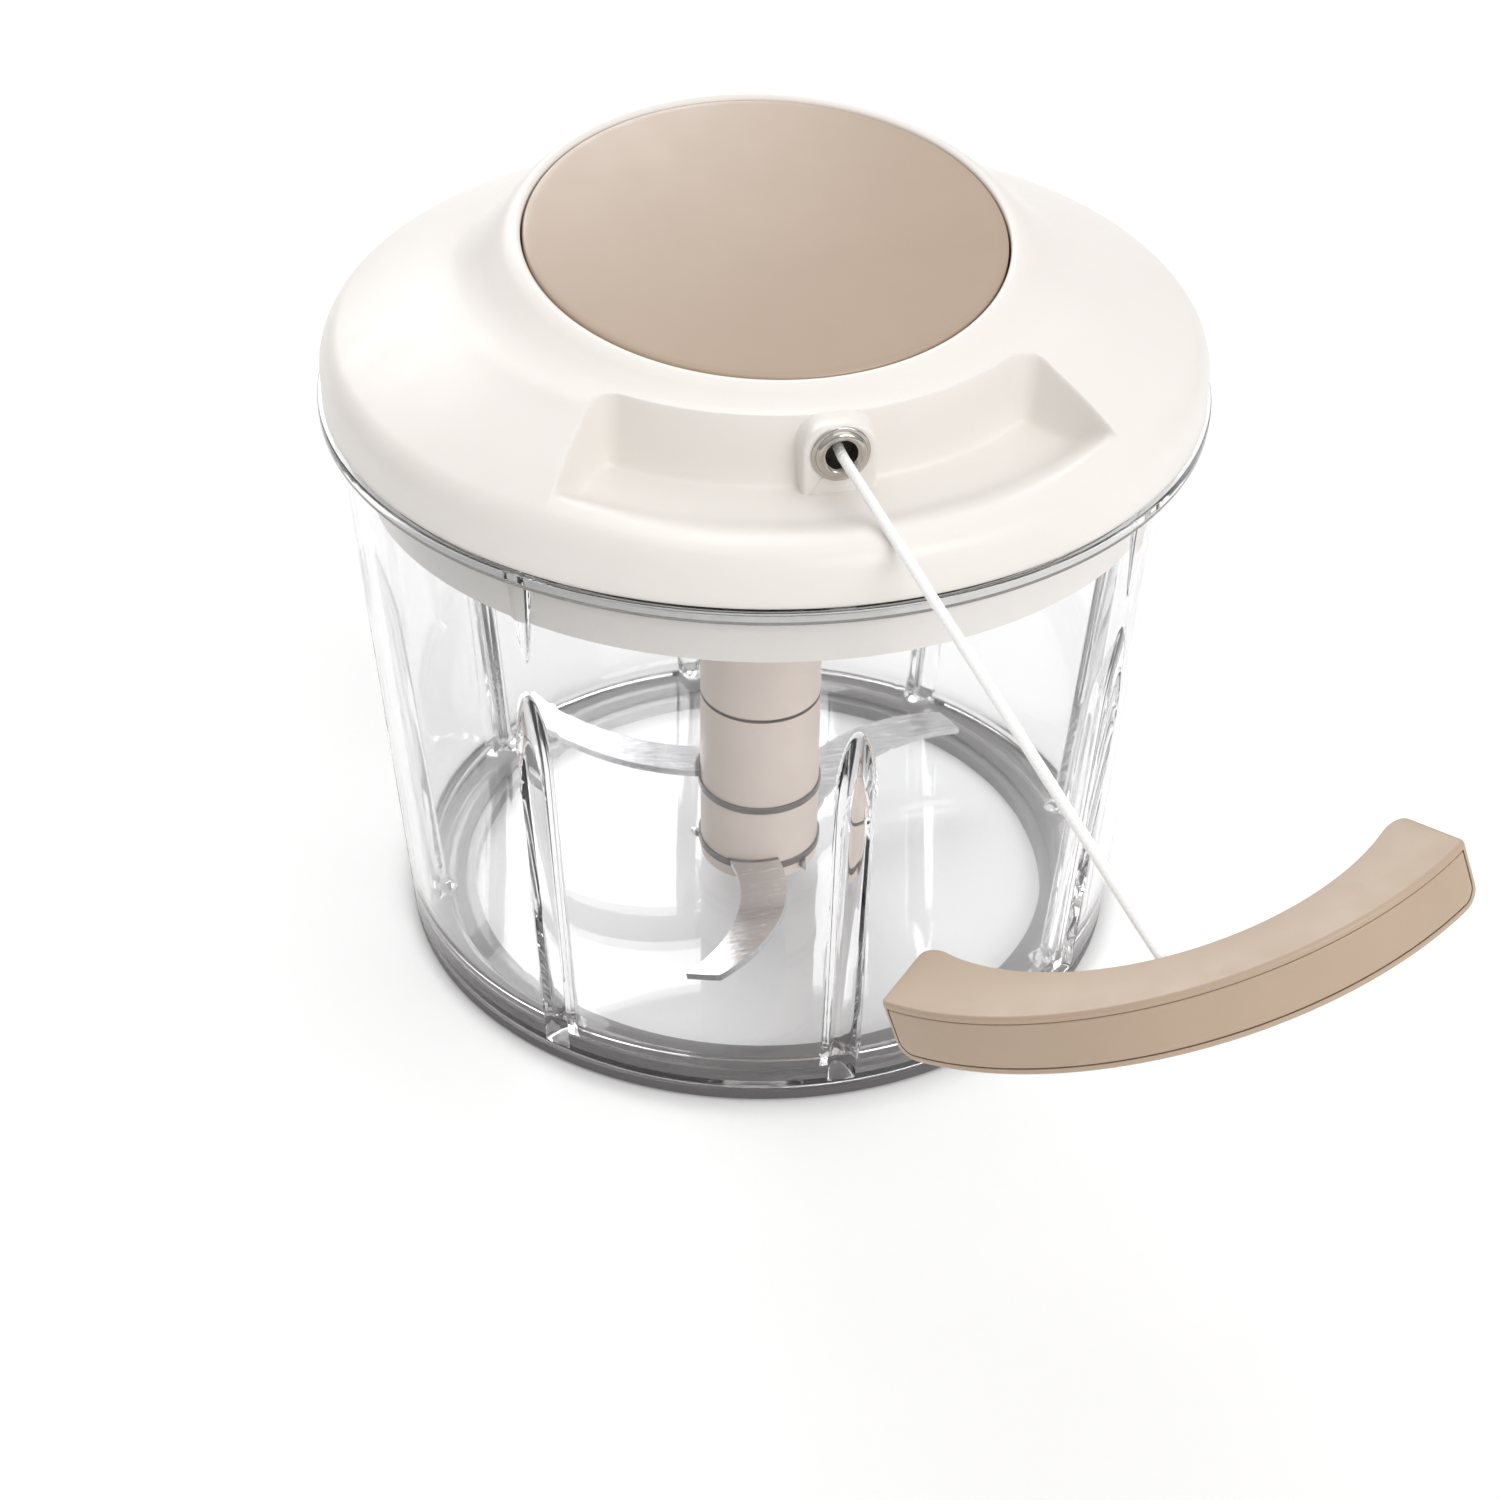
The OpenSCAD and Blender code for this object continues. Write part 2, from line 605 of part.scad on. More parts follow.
module drive_ratchet() color(steel_c) difference() {
    tube(ratchet_z, ratchet_h, ratchet_r, shaft_r + fit_gap);
    for (i = [0 : ratchet_teeth - 1]) rotate([0, 0, (i + 0.5) * 360 / ratchet_teeth])
        translate([ratchet_r - 2, 0, ratchet_z - 1]) rotate([0, 0, -30])
            cube([6, 3, ratchet_h + 2]);
}

module drive_ring() color(steel_c) tube(ring_z, ring_t, ring_r, shaft_r + fit_gap);

module spindle_core() color(grey_c) difference() {
    union() {
        translate([0, 0, foot_z]) cylinder(h = hub_top_z - foot_z, r = core_r);
        translate([0, 0, hub_top_z - eps]) cylinder(h = hex_len, r = hex_r, $fn = 6);
    }
    translate([0, 0, foot_z - eps]) cylinder(h = pin_top_z + 0.5 - foot_z, r = pin_r + run_gap);
}

module spindle_upper_hub() color(grey_c) tube(upper_blade_z + blade_t / 2,
    hub_top_z - upper_blade_z - blade_t / 2, spindle_r, core_r + fit_gap);

module spindle_lower_hub() color(grey_c) tube(lower_blade_z + blade_t / 2,
    upper_blade_z - lower_blade_z - blade_t, spindle_r, core_r + fit_gap);

module spindle_foot() color(grey_c) tube(foot_z, lower_blade_z - blade_t / 2 - foot_z,
    spindle_r, core_r + fit_gap);

// sickle wing from the hub along +X, cut from two circles, rising to its tip
module blade_wing() {
    big = 0.74 * blade_r;
    difference() {
        intersection() {
            rotate([6, -blade_rise, 0]) translate([0, 0, -blade_t / 2]) difference() {
                translate([0.52 * blade_r, -0.57 * blade_r, 0]) cylinder(h = blade_t, r = big);
                translate([0.57 * blade_r, -0.74 * blade_r, -1]) cylinder(h = blade_t + 2, r = big);
            }
            translate([0, 0, -far / 2]) cylinder(h = far, r = blade_r);
            translate([0, -far / 2, -far / 2]) cube([far, far, far]);
        }
        translate([0, 0, -far / 2]) cylinder(h = far, r = blade_ring_r - 0.2);
    }
}

module blade(z, turns) {
    color(steel_c) translate([0, 0, z]) {
        tube(-blade_t / 2, blade_t, blade_ring_r, core_r + fit_gap);
        for (a = turns) rotate([0, 0, a]) blade_wing();
    }
}
module upper_blade() blade(upper_blade_z, [150]);
module lower_blade() blade(lower_blade_z, [30, 250]);

module pull_cord() color(white_c) bar(cord_exit + cord_unit * 0.35,
    bead_pos - cord_unit * (bead_r + fit_gap), cord_r);

module cord_bead() color(white_c) translate(bead_pos) sphere(r = bead_r, $fn = 48);

// puts a handle piece where the handle is held
module held() {
    translate(handle_pos) rotate([handle_turn[0], 0, 0]) rotate([0, handle_turn[1], 0])
        rotate([0, 0, handle_turn[2]]) children();
}

// everything between the handle's two ends, its top and its bottom, each moved in by the inset;
// flats that touch a circle take off the lower corners of the ends
module between_ends(inset) {
    difference() {
        translate([-far / 2, -far, inset - handle_t]) cube([far, far, handle_t - 2 * inset]);
        for (s = [-1, 1]) translate([s * handle_tip[0], handle_tip[1], 0]) rotate([0, 0, s * handle_end_lean]) {
            translate([-s * inset + min(s, 0) * far, -far, -far / 2]) cube([far, 2 * far, far]);
            for (lean = [30, 60])
                translate([-s * handle_end_round, -far, handle_end_round - handle_t]) rotate([0, s * lean, 0])
                    translate([s * (handle_end_round - inset) + min(s, 0) * far, 0, -2 * handle_end_round])
                        cube([far, 2 * far, 4 * handle_end_round]);
        }
    }
}

// everything between the handle's outer and inner faces, each moved in by its own inset
module between_faces(outer, inner) {
    difference() {
        translate([0, 0, -far / 2]) cylinder(h = far, r = handle_out_r - outer);
        translate([0, -handle_in_y, -far]) cylinder(h = 2 * far, r = handle_in_r + inner);
    }
}

// flared hole from the bead to the handle's inner face, wide enough for the cord's swing
module cord_mouth() {
    bar(bead_in_handle, bead_in_handle + cord_hole_l * cord_mid, cord_hole_r,
        cord_hole_r + cord_hole_l * tan(cord_spread));
}

module handle_grip() color(handle_c) held() difference() {
    intersection() {
        between_faces(0, 0);
        between_ends(0);
    }
    for (s = [-1, 1], share = [1, 2])
        translate([s * corner_at[0], corner_at[1], -far / 2])
            rotate([0, 0, 90 + s * (handle_end_lean + share / 3 * corner_turn - 90)])
                translate([handle_corner, -2 * handle_corner, 0])
                    cube([2 * handle_corner, 4 * handle_corner, far]);
    intersection() {
        tube(-far / 2, far, far / 2, handle_out_r - 2);
        between_ends(cover_border);
    }
    intersection() {
        between_faces(1, 2);
        between_ends(cover_border + 0.6);
    }
    cord_mouth();
}

module handle_cover() color(handle_c) held() intersection() {
    tube(-far / 2, far, handle_out_r, handle_out_r - 1.95);
    between_ends(cover_border + 0.1);
}

// block behind the bead that keeps it at the cord hole
module bead_keeper() color(handle_c) held() difference() {
    intersection() {
        between_faces(2, 2.05);
        between_ends(cover_border + 0.65);
        sector(keeper_half);
    }
    translate(bead_in_handle) sphere(r = bead_r + run_gap, $fn = 48);
    cord_mouth();
}

bowl();
base_grip_ring();
pivot_pin();
lid_housing();
top_cap();
lid_base();
lid_seal();
cord_eyelet();
reel_bridge();
reel_axle();
drive_bush();
cord_lead();
lid_screw_1();
lid_screw_2();
lid_screw_3();
bridge_screw_1();
bridge_screw_2();
bridge_screw_3();
cord_reel();
wound_cord();
recoil_spring();
pawl_1();
pawl_2();
drive_collar();
drive_ratchet();
drive_ring();
spindle_core();
spindle_upper_hub();
spindle_lower_hub();
spindle_foot();
upper_blade();
lower_blade();
pull_cord();
cord_bead();
handle_grip();
handle_cover();
bead_keeper();
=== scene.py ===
import bpy
import numpy as np
from mathutils import Matrix


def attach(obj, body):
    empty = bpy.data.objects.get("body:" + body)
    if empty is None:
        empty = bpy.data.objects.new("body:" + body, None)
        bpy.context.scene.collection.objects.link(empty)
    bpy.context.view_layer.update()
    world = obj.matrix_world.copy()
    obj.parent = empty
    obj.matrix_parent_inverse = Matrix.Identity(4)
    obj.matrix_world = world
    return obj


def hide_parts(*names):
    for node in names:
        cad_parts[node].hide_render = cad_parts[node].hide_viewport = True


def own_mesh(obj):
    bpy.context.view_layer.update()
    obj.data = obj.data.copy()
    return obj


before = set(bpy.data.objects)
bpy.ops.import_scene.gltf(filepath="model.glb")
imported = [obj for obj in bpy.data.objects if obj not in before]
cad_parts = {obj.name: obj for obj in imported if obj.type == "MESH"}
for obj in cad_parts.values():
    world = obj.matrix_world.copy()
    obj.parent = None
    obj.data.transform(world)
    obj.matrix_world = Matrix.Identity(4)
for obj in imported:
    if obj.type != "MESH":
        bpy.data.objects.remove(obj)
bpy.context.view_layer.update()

# Camera
# A long lens looks down on the lid from in front, a little to the left of the cord,
# near enough for the far side of the rim to draw in.
mm = 0.001
camera_turn = np.radians(13)
camera_out = 431.1 * mm
camera_height = 340.2 * mm
camera_pitch = 0.6289
camera_yaw = -0.0040
camera_roll = 0.0099
focal_pixels = 3012.7
frame_pixels = 1500
sensor = 36

heading = camera_turn + camera_yaw
ahead = np.array([np.sin(heading) * np.cos(camera_pitch),
                  np.cos(heading) * np.cos(camera_pitch),
                  -np.sin(camera_pitch)])
level = np.cross(ahead, [0, 0, 1])
level /= np.linalg.norm(level)
above = np.cross(level, ahead)
stand = np.eye(4)
stand[:3, 0] = np.cos(camera_roll) * level + np.sin(camera_roll) * above
stand[:3, 1] = np.cos(camera_roll) * above - np.sin(camera_roll) * level
stand[:3, 2] = -ahead
stand[:3, 3] = [-camera_out * np.sin(camera_turn), -camera_out * np.cos(camera_turn), camera_height]
camera = bpy.data.objects.new("camera", bpy.data.cameras.new("camera"))
camera.data.sensor_width = sensor
camera.data.lens = focal_pixels / frame_pixels * sensor
camera.data.clip_start = 10 * mm
camera.matrix_world = Matrix(stand)
bpy.context.scene.collection.objects.link(camera)
bpy.context.scene.camera = camera


# Pull cord
# White braided polyester, about 1.65 mm thick, drawn out taut between the eyelet and the bead in the handle.
# Eight strands, four each way, cross over each other; the free stretch winds back on to the reel when let go.
cord_mouth = np.array([0, -51.5, 116.2]) * mm
cord_bead = np.array([18.727, -155.897, 96.690]) * mm
cord_across = 1.65 * mm
cord_bead_radius = 2.4 * mm
cord_end_share = 0.9
cord_end_from, cord_end_to = 0.9, 0.95
strand_pairs = 4
strand_pitch = 4.2 * mm
strand_relief = 0.08 * mm
fibre_across, fibre_relief = 0.25 * mm, 0.05 * mm
route_points = 40
cord_rings, cord_sides = 540, 40
cord_colour = (0.95, 0.95, 0.94)
noise_low, noise_high = 0.3, 0.7


def skin(name, points, along=False, ends=False, crease=None):
    """Mesh over a grid of points, rows by columns. Each face joins two neighbouring rows and two
    neighbouring columns; the columns always close round, the rows close if along is true, and
    ends closes the first and last row with a flat face. Faces are turned to point outwards."""
    rows, columns = points.shape[:2]
    index = np.arange(rows * columns).reshape(rows, columns)
    grid = np.hstack([index, index[:, :1]])
    if along:
        grid = np.vstack([grid, grid[:1]])
    quads = np.stack([grid[:-1, :-1], grid[:-1, 1:], grid[1:, 1:], grid[1:, :-1]], axis=-1).reshape(-1, 4)
    flat = points.reshape(-1, 3)
    corner = flat[quads] - flat.mean(axis=0)
    swell = np.einsum("ij,ij->i", corner[:, 0], np.cross(corner[:, 1], corner[:, 2])).sum()
    swell += np.einsum("ij,ij->i", corner[:, 0], np.cross(corner[:, 2], corner[:, 3])).sum()
    first, last = index[0, ::-1], index[-1]
    if swell < 0:
        quads, first, last = quads[:, ::-1], first[::-1], last[::-1]
    faces = quads.tolist()
    if ends:
        faces += [first.tolist(), last.tolist()]
    mesh = bpy.data.meshes.new(name)
    mesh.from_pydata(flat.tolist(), [], faces)
    mesh.polygons.foreach_set("use_smooth", np.ones(len(mesh.polygons), dtype=bool))
    if crease is not None:
        mesh.set_sharp_from_angle(angle=np.radians(crease))
    mesh.update()
    piece = bpy.data.objects.new(name, mesh)
    bpy.context.scene.collection.objects.link(piece)
    return piece


def braid(path, rings, sides, end=1.0):
    """Tube along a path. Rings stand square to the path at even steps of its length, and each ring's
    radius swells where the strands of two opposite spirals lie on top: the larger of two cosines of
    strand count times angle, plus and minus the turn of the spiral along the length. Over the last
    tenth the radius narrows to the share end."""
    step = np.linalg.norm(np.diff(path, axis=0), axis=1)
    reach = np.concatenate([[0], np.cumsum(step)])
    length = np.linspace(0, reach[-1], rings)
    middle = np.stack([np.interp(length, reach, path[:, k]) for k in range(3)], axis=-1)
    way = np.gradient(middle, axis=0)
    way /= np.linalg.norm(way, axis=1, keepdims=True)
    side = np.cross(way, [0, 0, 1])
    side /= np.linalg.norm(side, axis=1, keepdims=True)
    top = np.cross(side, way)
    angle = np.linspace(0, 2 * np.pi, sides, endpoint=False)
    turn = 2 * np.pi * length[:, None] / strand_pitch
    rise = np.maximum(np.cos(strand_pairs * (angle + turn)), np.cos(strand_pairs * (angle - turn)))
    narrow = np.interp(length / reach[-1], [cord_end_from, cord_end_to], [1, end])
    radius = narrow[:, None] * (cord_across / 2 - strand_relief * (1 - rise) / 2)
    return (middle[:, None] + radius[..., None] * (np.cos(angle)[:, None] * side[:, None]
                                                   + np.sin(angle)[:, None] * top[:, None]))


def surface(name, colour, rough, metal=0.0):
    """Principled material with its plain colour and roughness, and Object coordinates to build on."""
    material = bpy.data.materials.new(name)
    material.use_nodes = True
    nodes = material.node_tree.nodes
    shader = nodes["Principled BSDF"]
    shader.inputs["Base Color"].default_value = (*colour, 1)
    shader.inputs["Roughness"].default_value = rough
    shader.inputs["Metallic"].default_value = metal
    place = nodes.new("ShaderNodeTexCoord")
    return material, shader, place.outputs["Object"]


def noise(material, place, size, detail=2.0, stretch=(1, 1, 1)):
    """Noise whose lumps are about size metres across, stretched along the axes if asked."""
    nodes, links = material.node_tree.nodes, material.node_tree.links
    mapping = nodes.new("ShaderNodeMapping")
    mapping.inputs["Scale"].default_value = stretch
    links.new(place, mapping.inputs["Vector"])
    texture = nodes.new("ShaderNodeTexNoise")
    texture.inputs["Scale"].default_value = 1 / size
    texture.inputs["Detail"].default_value = detail
    links.new(mapping.outputs["Vector"], texture.inputs["Vector"])
    return texture.outputs["Fac"]


def gloss(material, shader, value, low, high):
    """Roughness that goes from low to high with a noise value."""
    node = material.node_tree.nodes.new("ShaderNodeMapRange")
    node.inputs["From Min"].default_value = noise_low
    node.inputs["From Max"].default_value = noise_high
    node.inputs["To Min"].default_value = low
    node.inputs["To Max"].default_value = high
    material.node_tree.links.new(value, node.inputs["Value"])
    material.node_tree.links.new(node.outputs["Result"], shader.inputs["Roughness"])


def tint(material, value, colour, spread):
    """Colour that goes with a noise value from darker to lighter than the given one by a share of it."""
    ramp = material.node_tree.nodes.new("ShaderNodeValToRGB")
    dark, light = ramp.color_ramp.elements
    dark.position, light.position = noise_low, noise_high
    dark.color = (*[c * (1 - spread) for c in colour], 1)
    light.color = (*[min(1, c * (1 + spread)) for c in colour], 1)
    material.node_tree.links.new(value, ramp.inputs["Fac"])
    return ramp.outputs["Color"]


def dye(material, shader, value, colour, spread):
    """Puts a colour that varies with a noise value on the shader."""
    material.node_tree.links.new(tint(material, value, colour, spread), shader.inputs["Base Color"])


def relief(material, shader, value, depth, strength=0.6):
    """Bump of the given depth in metres from a noise value."""
    bump = material.node_tree.nodes.new("ShaderNodeBump")
    bump.inputs["Strength"].default_value = strength
    bump.inputs["Distance"].default_value = depth
    material.node_tree.links.new(value, bump.inputs["Height"])
    material.node_tree.links.new(bump.outputs["Normal"], shader.inputs["Normal"])


def wear(piece, material):
    """Gives a piece, or a node carried over from the solids, its one material."""
    piece.data.materials.clear()
    piece.data.materials.append(material)
    return piece


cord_way = cord_bead - cord_mouth
cord_way /= np.linalg.norm(cord_way)
cord_stop = cord_bead - cord_bead_radius * cord_way
cord_path = np.linspace(cord_mouth, cord_stop, route_points)
braided, shader, place = surface("white_braid", cord_colour, 0.75)
fibres = noise(braided, place, fibre_across, detail=4)
dye(braided, shader, fibres, cord_colour, 0.05)
relief(braided, shader, fibres, fibre_relief)
shader.inputs["Sheen Weight"].default_value = 0.3
shader.inputs["Sheen Roughness"].default_value = 0.5

cord_points = braid(cord_path, cord_rings, cord_sides, cord_end_share)
cord = wear(skin("pull_cord_braid", cord_points, ends=True), braided)
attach(cord, "cord_run")
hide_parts("pull_cord")
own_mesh(cord)

# Cord lead
# The same cord inside the lid: it leaves the reel at a tangent, bends over the eyelet's back edge
# and runs out along the eyelet, where its end shows in the dark of the hole.
lead_bend = np.array([0, -43.0, 116.2]) * mm
lead_start = np.array([11.93, -13.23, 116.2]) * mm
lead_rings, lead_sides = 200, 32
lead_path = np.vstack([np.linspace(lead_start, lead_bend, 20)[:-1],
                       np.linspace(lead_bend, cord_mouth, 12)])
lead = wear(skin("cord_lead_braid", braid(lead_path, lead_rings, lead_sides), ends=True), braided)
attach(lead, "lid")
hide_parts("cord_lead")

# Bowl
# One clear plastic moulding, like a thick tumbler. Eight pointed flutes run up the outside with round ridges
# behind them; a small tapered rib stands above every other ridge, and a flange runs round the top.
bowl_h = 103 * mm
base_r = 62.2 * mm
top_r = 69.6 * mm
rim_r = 72 * mm
rim_t = 2.2 * mm
rim_round = 0.3 * mm
rim_fillet = 0.8 * mm
rim_inner_round = 0.5 * mm
wall_t = 2.5 * mm
foot_z = 2.56 * mm
foot_inset, foot_round = 0.6 * mm, 0.8 * mm
floor_z = 4.8 * mm
pin_boss_r = 4.5 * mm
pin_boss_z = 6.2 * mm
pin_fillet, pin_edge = 0.8 * mm, 0.4 * mm
bore_r = 2.6 * mm
corner_r = 5 * mm
floor_step, pin_boss_step, bore_step = 4 * mm, 2 * mm, 0.2 * mm
flutes = 8
flute_foot, flute_ease = 3.9 * mm, 0.5 * mm
flute_tip, flute_point, flute_half, flute_sharp = 69.5 * mm, 15 * mm, 2.2 * mm, 0.65
flute_start, flute_deep = 1.9 * mm, 4.4 * mm
ridge_tip, ridge_point, ridge_half, ridge_sharp = 77.0 * mm, 16 * mm, 3.1 * mm, 0.5
ridge_start, ridge_deep = 2.7 * mm, 3.8 * mm
lancet_steep = 0.8
ridge_floor_rows = 6
rib_low, rib_high, rib_half, rib_rise = 83.5 * mm, 99.0 * mm, 2.1 * mm, 1.3 * mm
rib_end = 0.4 * mm
rib_taper, rib_steep = 0.6, 0.7
clear_colour = (0.955, 0.957, 0.962)


def wall(z):
    """Outer radius of the tapered wall at a height."""
    return base_r + (top_r - base_r) * z / bowl_h


def ease(value, low, high):
    """Smooth step from 0 at low to 1 at high."""
    share = np.clip((value - low) / (high - low), 0, 1)
    return share * share * (3 - 2 * share)


def arc(centre, radius, start, stop, count):
    """Points of a circular arc in the radius and height plane, angles in degrees."""
    angle = np.radians(np.linspace(start, stop, count))
    return np.stack([centre[0] + radius * np.cos(angle), centre[1] + radius * np.sin(angle)], axis=-1)


def line(start, stop, count):
    """Points of a straight stretch in the radius and height plane."""
    return np.linspace(start, stop, count)


def lancet(across, height, tip, point, half, sharp, start, deep):
    """Depth of a pointed flute or ridge at a distance from its middle line and a height. Its width opens
    below the tip like an arch, the more pointed the higher sharp is. Its depth climbs over the point's
    length to the starting depth and then evenly to the full depth at the foot. Across, it is a
    steep-sided round."""
    drop = np.clip((tip - height) / point, 0, 1)
    width = half * np.power(1 - (1 - drop) ** 2, sharp) + 1e-7
    climb = start * np.sin(drop * np.pi / 2)
    climb = climb + (deep - start) * np.clip((tip - point - height) / (tip - point - flute_foot), 0, 1)
    return climb * np.power(np.clip(1 - (across / width) ** 2, 0, 1), lancet_steep)


fan_half, fan_fine = 180 / flutes, 4.4
fan = np.radians(np.concatenate([np.linspace(-fan_half, -fan_fine, 9, endpoint=False),
                                 np.linspace(-fan_fine, fan_fine, 40, endpoint=False),
                                 np.linspace(fan_fine, fan_half, 9, endpoint=False)]))
azimuth = (fan[None] + np.radians(360 / flutes) * np.arange(flutes)[:, None]).ravel()
offset = np.tile(fan, flutes)
# the rows stand closer together at the flutes' feet and at the points
heights = np.concatenate([[3.6, 3.88], np.linspace(3.95, 4.4, 6), np.linspace(4.8, 8.5, 7),
                          np.linspace(9.5, 52, 22), np.linspace(53, 72, 26), np.linspace(74, 99.6, 10)]) * mm
inner_heights = np.concatenate([np.linspace(102.2, 98.5, 4), np.linspace(97.6, 83, 15),
                                np.linspace(81.5, 60, 28), np.linspace(58, 12, 22)]) * mm
under = np.concatenate([line((bore_r, foot_z), (base_r - foot_inset, foot_z), 8),
                        arc((wall(foot_z) - foot_round, foot_z + foot_round), foot_round, -80, 0, 5)])
outside = np.stack([wall(heights), heights], axis=-1)
rim_low = bowl_h - rim_t
rim_inner_r = top_r - wall_t + rim_inner_round
rim = np.concatenate([arc((wall(rim_low) + rim_fillet, rim_low - rim_fillet), rim_fillet, 170, 90, 5),
                      line((rim_r - rim_fillet, rim_low), (rim_r - rim_round, rim_low), 3),
                      arc((rim_r - rim_round, rim_low + rim_round), rim_round, -80, 0, 5),
                      arc((rim_r - rim_round, bowl_h - rim_round), rim_round, 0, 90, 6),
                      arc((rim_inner_r, bowl_h - rim_inner_round), rim_inner_round, 90, 180, 6)])
inside = np.stack([wall(inner_heights) - wall_t, inner_heights], axis=-1)
floor_out = wall(floor_z + corner_r) - wall_t - corner_r
floor_in = np.concatenate([arc((floor_out, floor_z + corner_r), corner_r, -5, -90, 10),
                           line((floor_out - floor_step, floor_z), (pin_boss_r + pin_boss_step, floor_z), 8),
                           arc((pin_boss_r + pin_fillet, floor_z + pin_fillet), pin_fillet, -90, -180, 5),
                           arc((pin_boss_r - pin_edge, pin_boss_z - pin_edge), pin_edge, 0, 90, 4),
                           line((bore_r, pin_boss_z), (bore_r, foot_z + bore_step), 3)])
section = np.concatenate([under, outside, rim, inside, floor_in])
row_r = section[:, :1]
row_z = section[:, 1:]
first_in = len(under) + len(outside) + len(rim)
row = np.arange(len(section))[:, None]
is_out = (row >= len(under)) & (row < len(under) + len(outside))
is_in = (row >= first_in) & (row < first_in + len(inside) + ridge_floor_rows)
across = row_r * offset
flute = lancet(across, row_z, flute_tip, flute_point, flute_half, flute_sharp, flute_start, flute_deep)
flute = flute * ease(row_z, flute_foot, flute_foot + flute_ease)
ridge = lancet(across, row_z, ridge_tip, ridge_point, ridge_half, ridge_sharp, ridge_start, ridge_deep)
rib_share = np.clip((row_z - rib_low) / (rib_high - rib_low), 1e-6, 1)
rib_width = rib_half * rib_share ** rib_taper
rib = rib_rise * rib_share * np.power(np.clip(1 - (across / rib_width) ** 2, 0, 1), rib_steep)
rib = np.where((row_z > rib_low) & (row_z < rib_high + rib_end), rib, 0)
rib = rib * np.repeat(np.arange(flutes) % 2, len(fan))
reach = row_r - np.where(is_out, flute, 0) - np.where(is_in, np.maximum(ridge, rib), 0)
bowl_points = np.stack([reach * np.sin(azimuth), -reach * np.cos(azimuth),
                        np.broadcast_to(row_z, reach.shape)], axis=-1)

clear, shader, place = surface("clear_plastic", clear_colour, 0.02)
shader.inputs["Transmission Weight"].default_value = 1.0
shader.inputs["IOR"].default_value = 1.49
flow = noise(clear, place, 14 * mm, detail=2, stretch=(1, 1, 0.3))
relief(clear, shader, flow, 0.04 * mm, strength=0.25)
gloss(clear, shader, noise(clear, place, 3 * mm), 0.01, 0.035)
bowl = wear(skin("bowl_clear", bowl_points, along=True, crease=38), clear)
bowl.visible_shadow = False
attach(bowl, "bowl")
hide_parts("bowl")

# Grip ring
# A soft grey ring under the bowl, half see-through, pressed into a groove in the bowl's underside
# so that the bowl doesn't slide while the cord is pulled.
grip_grey = (0.19, 0.178, 0.183)
rubber, shader, place = surface("grey_grip", grip_grey, 0.4)
grit = noise(rubber, place, 0.7 * mm)
dye(rubber, shader, grit, grip_grey, 0.05)
relief(rubber, shader, grit, 0.03 * mm)
shader.inputs["Transmission Weight"].default_value = 0.45
wear(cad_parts["base_grip_ring"], rubber)

# Lid housing
# A cream satin moulding that closes the bowl. Its dome sweeps up from a rounded brim like a trumpet to a
# collar round the tilted cap, and a tray for the handle is sunk into its front.
lid_r = 71.3 * mm
cap_r = 38.3 * mm
cap_gap = 0.35 * mm
cap_z = 127.7 * mm
cap_lean = np.radians(8)
shell_t = 2.0 * mm
dome_r = np.array([38.0, 39.4, 41.0, 43.0, 45.5, 48.5, 52.0, 57.0, 62.0, 66.0, 68.0]) * mm
dome_z = np.array([127.9, 128.0, 127.3, 125.7, 123.6, 121.5, 119.8, 117.7, 115.6, 113.8, 112.85]) * mm
tilt_near = 38.5 * mm
tilt_far = 51.0 * mm
shoulder_r = 6.0 * mm
shoulder_z = 107.5 * mm
shoulder_start = 64
recess_r = 48 * mm
recess_z = 109.5 * mm
recess_lean = np.radians(36)
recess_end = 5.4 * mm
recess_corner = 2.6 * mm
back_slope = 9.0
end_slope = 7.5
slope_from, slope_to = 0.35, 1.35
sill_from, sill_to = 56.5 * mm, 66.0 * mm
sill_rise, sill_rise_ends = 2.5 * mm, 1.6 * mm
aside_from, aside_to = np.radians(18), np.radians(42)
floor_fillet = 1.3 * mm
edge_fillet = 1.3 * mm
collar_blend = 45 * mm
collar_drop, collar_fade = 0.5 * mm, 0.45 * mm
cream = (0.795, 0.76, 0.722)


def through(x, known_x, known_y):
    """Smooth curve through given points: cubic pieces whose slope at each point is the mean of the
    slopes on its two sides."""
    slope = np.gradient(known_y, known_x)
    piece = np.clip(np.searchsorted(known_x, x) - 1, 0, len(known_x) - 2)
    width = known_x[piece + 1] - known_x[piece]
    t = np.clip((x - known_x[piece]) / width, 0, 1)
    return ((1 + 2 * t) * (1 - t) ** 2 * known_y[piece] + t * (1 - t) ** 2 * width * slope[piece]
            + t * t * (3 - 2 * t) * known_y[piece + 1] + t * t * (t - 1) * width * slope[piece + 1])


def soft_low(a, b, blend):
    """The lower of two heights, rounded where they cross within a blend distance."""
    return np.minimum(a, b) - np.maximum(blend - np.abs(a - b), 0) ** 2 / (4 * blend)


def recess_height(x, y, grow):
    """Height of the tray's cut: its floor, which sweeps up to a sill at the brim, more so at the ends, and
    outside the floor's outline a wall that climbs steeply with the distance from it. The outline is the
    back wall's circle and two straight ends that lean apart, with rounded corners between them;
    it is grown by a thickness for the inner skin."""
    r = np.hypot(x, y)
    back = np.maximum(recess_r - grow - r + recess_corner, 0)
    end = np.abs(x) * np.cos(recess_lean) + y * np.sin(recess_lean) - recess_end
    end = np.maximum(end - grow + recess_corner, 0)
    away = np.hypot(back, end) - recess_corner
    slope = back_slope + (end_slope - back_slope) * ease(np.arctan2(end, back + 1e-9), slope_from, slope_to)
    soft = 2 * floor_fillet / slope
    climb = slope * (away + np.sqrt(away ** 2 + soft ** 2)) / 2
    aside = ease(np.arctan2(np.abs(x), -y), aside_from, aside_to)
    return recess_z + climb + (sill_rise + sill_rise_ends * aside) * ease(r, sill_from, sill_to)


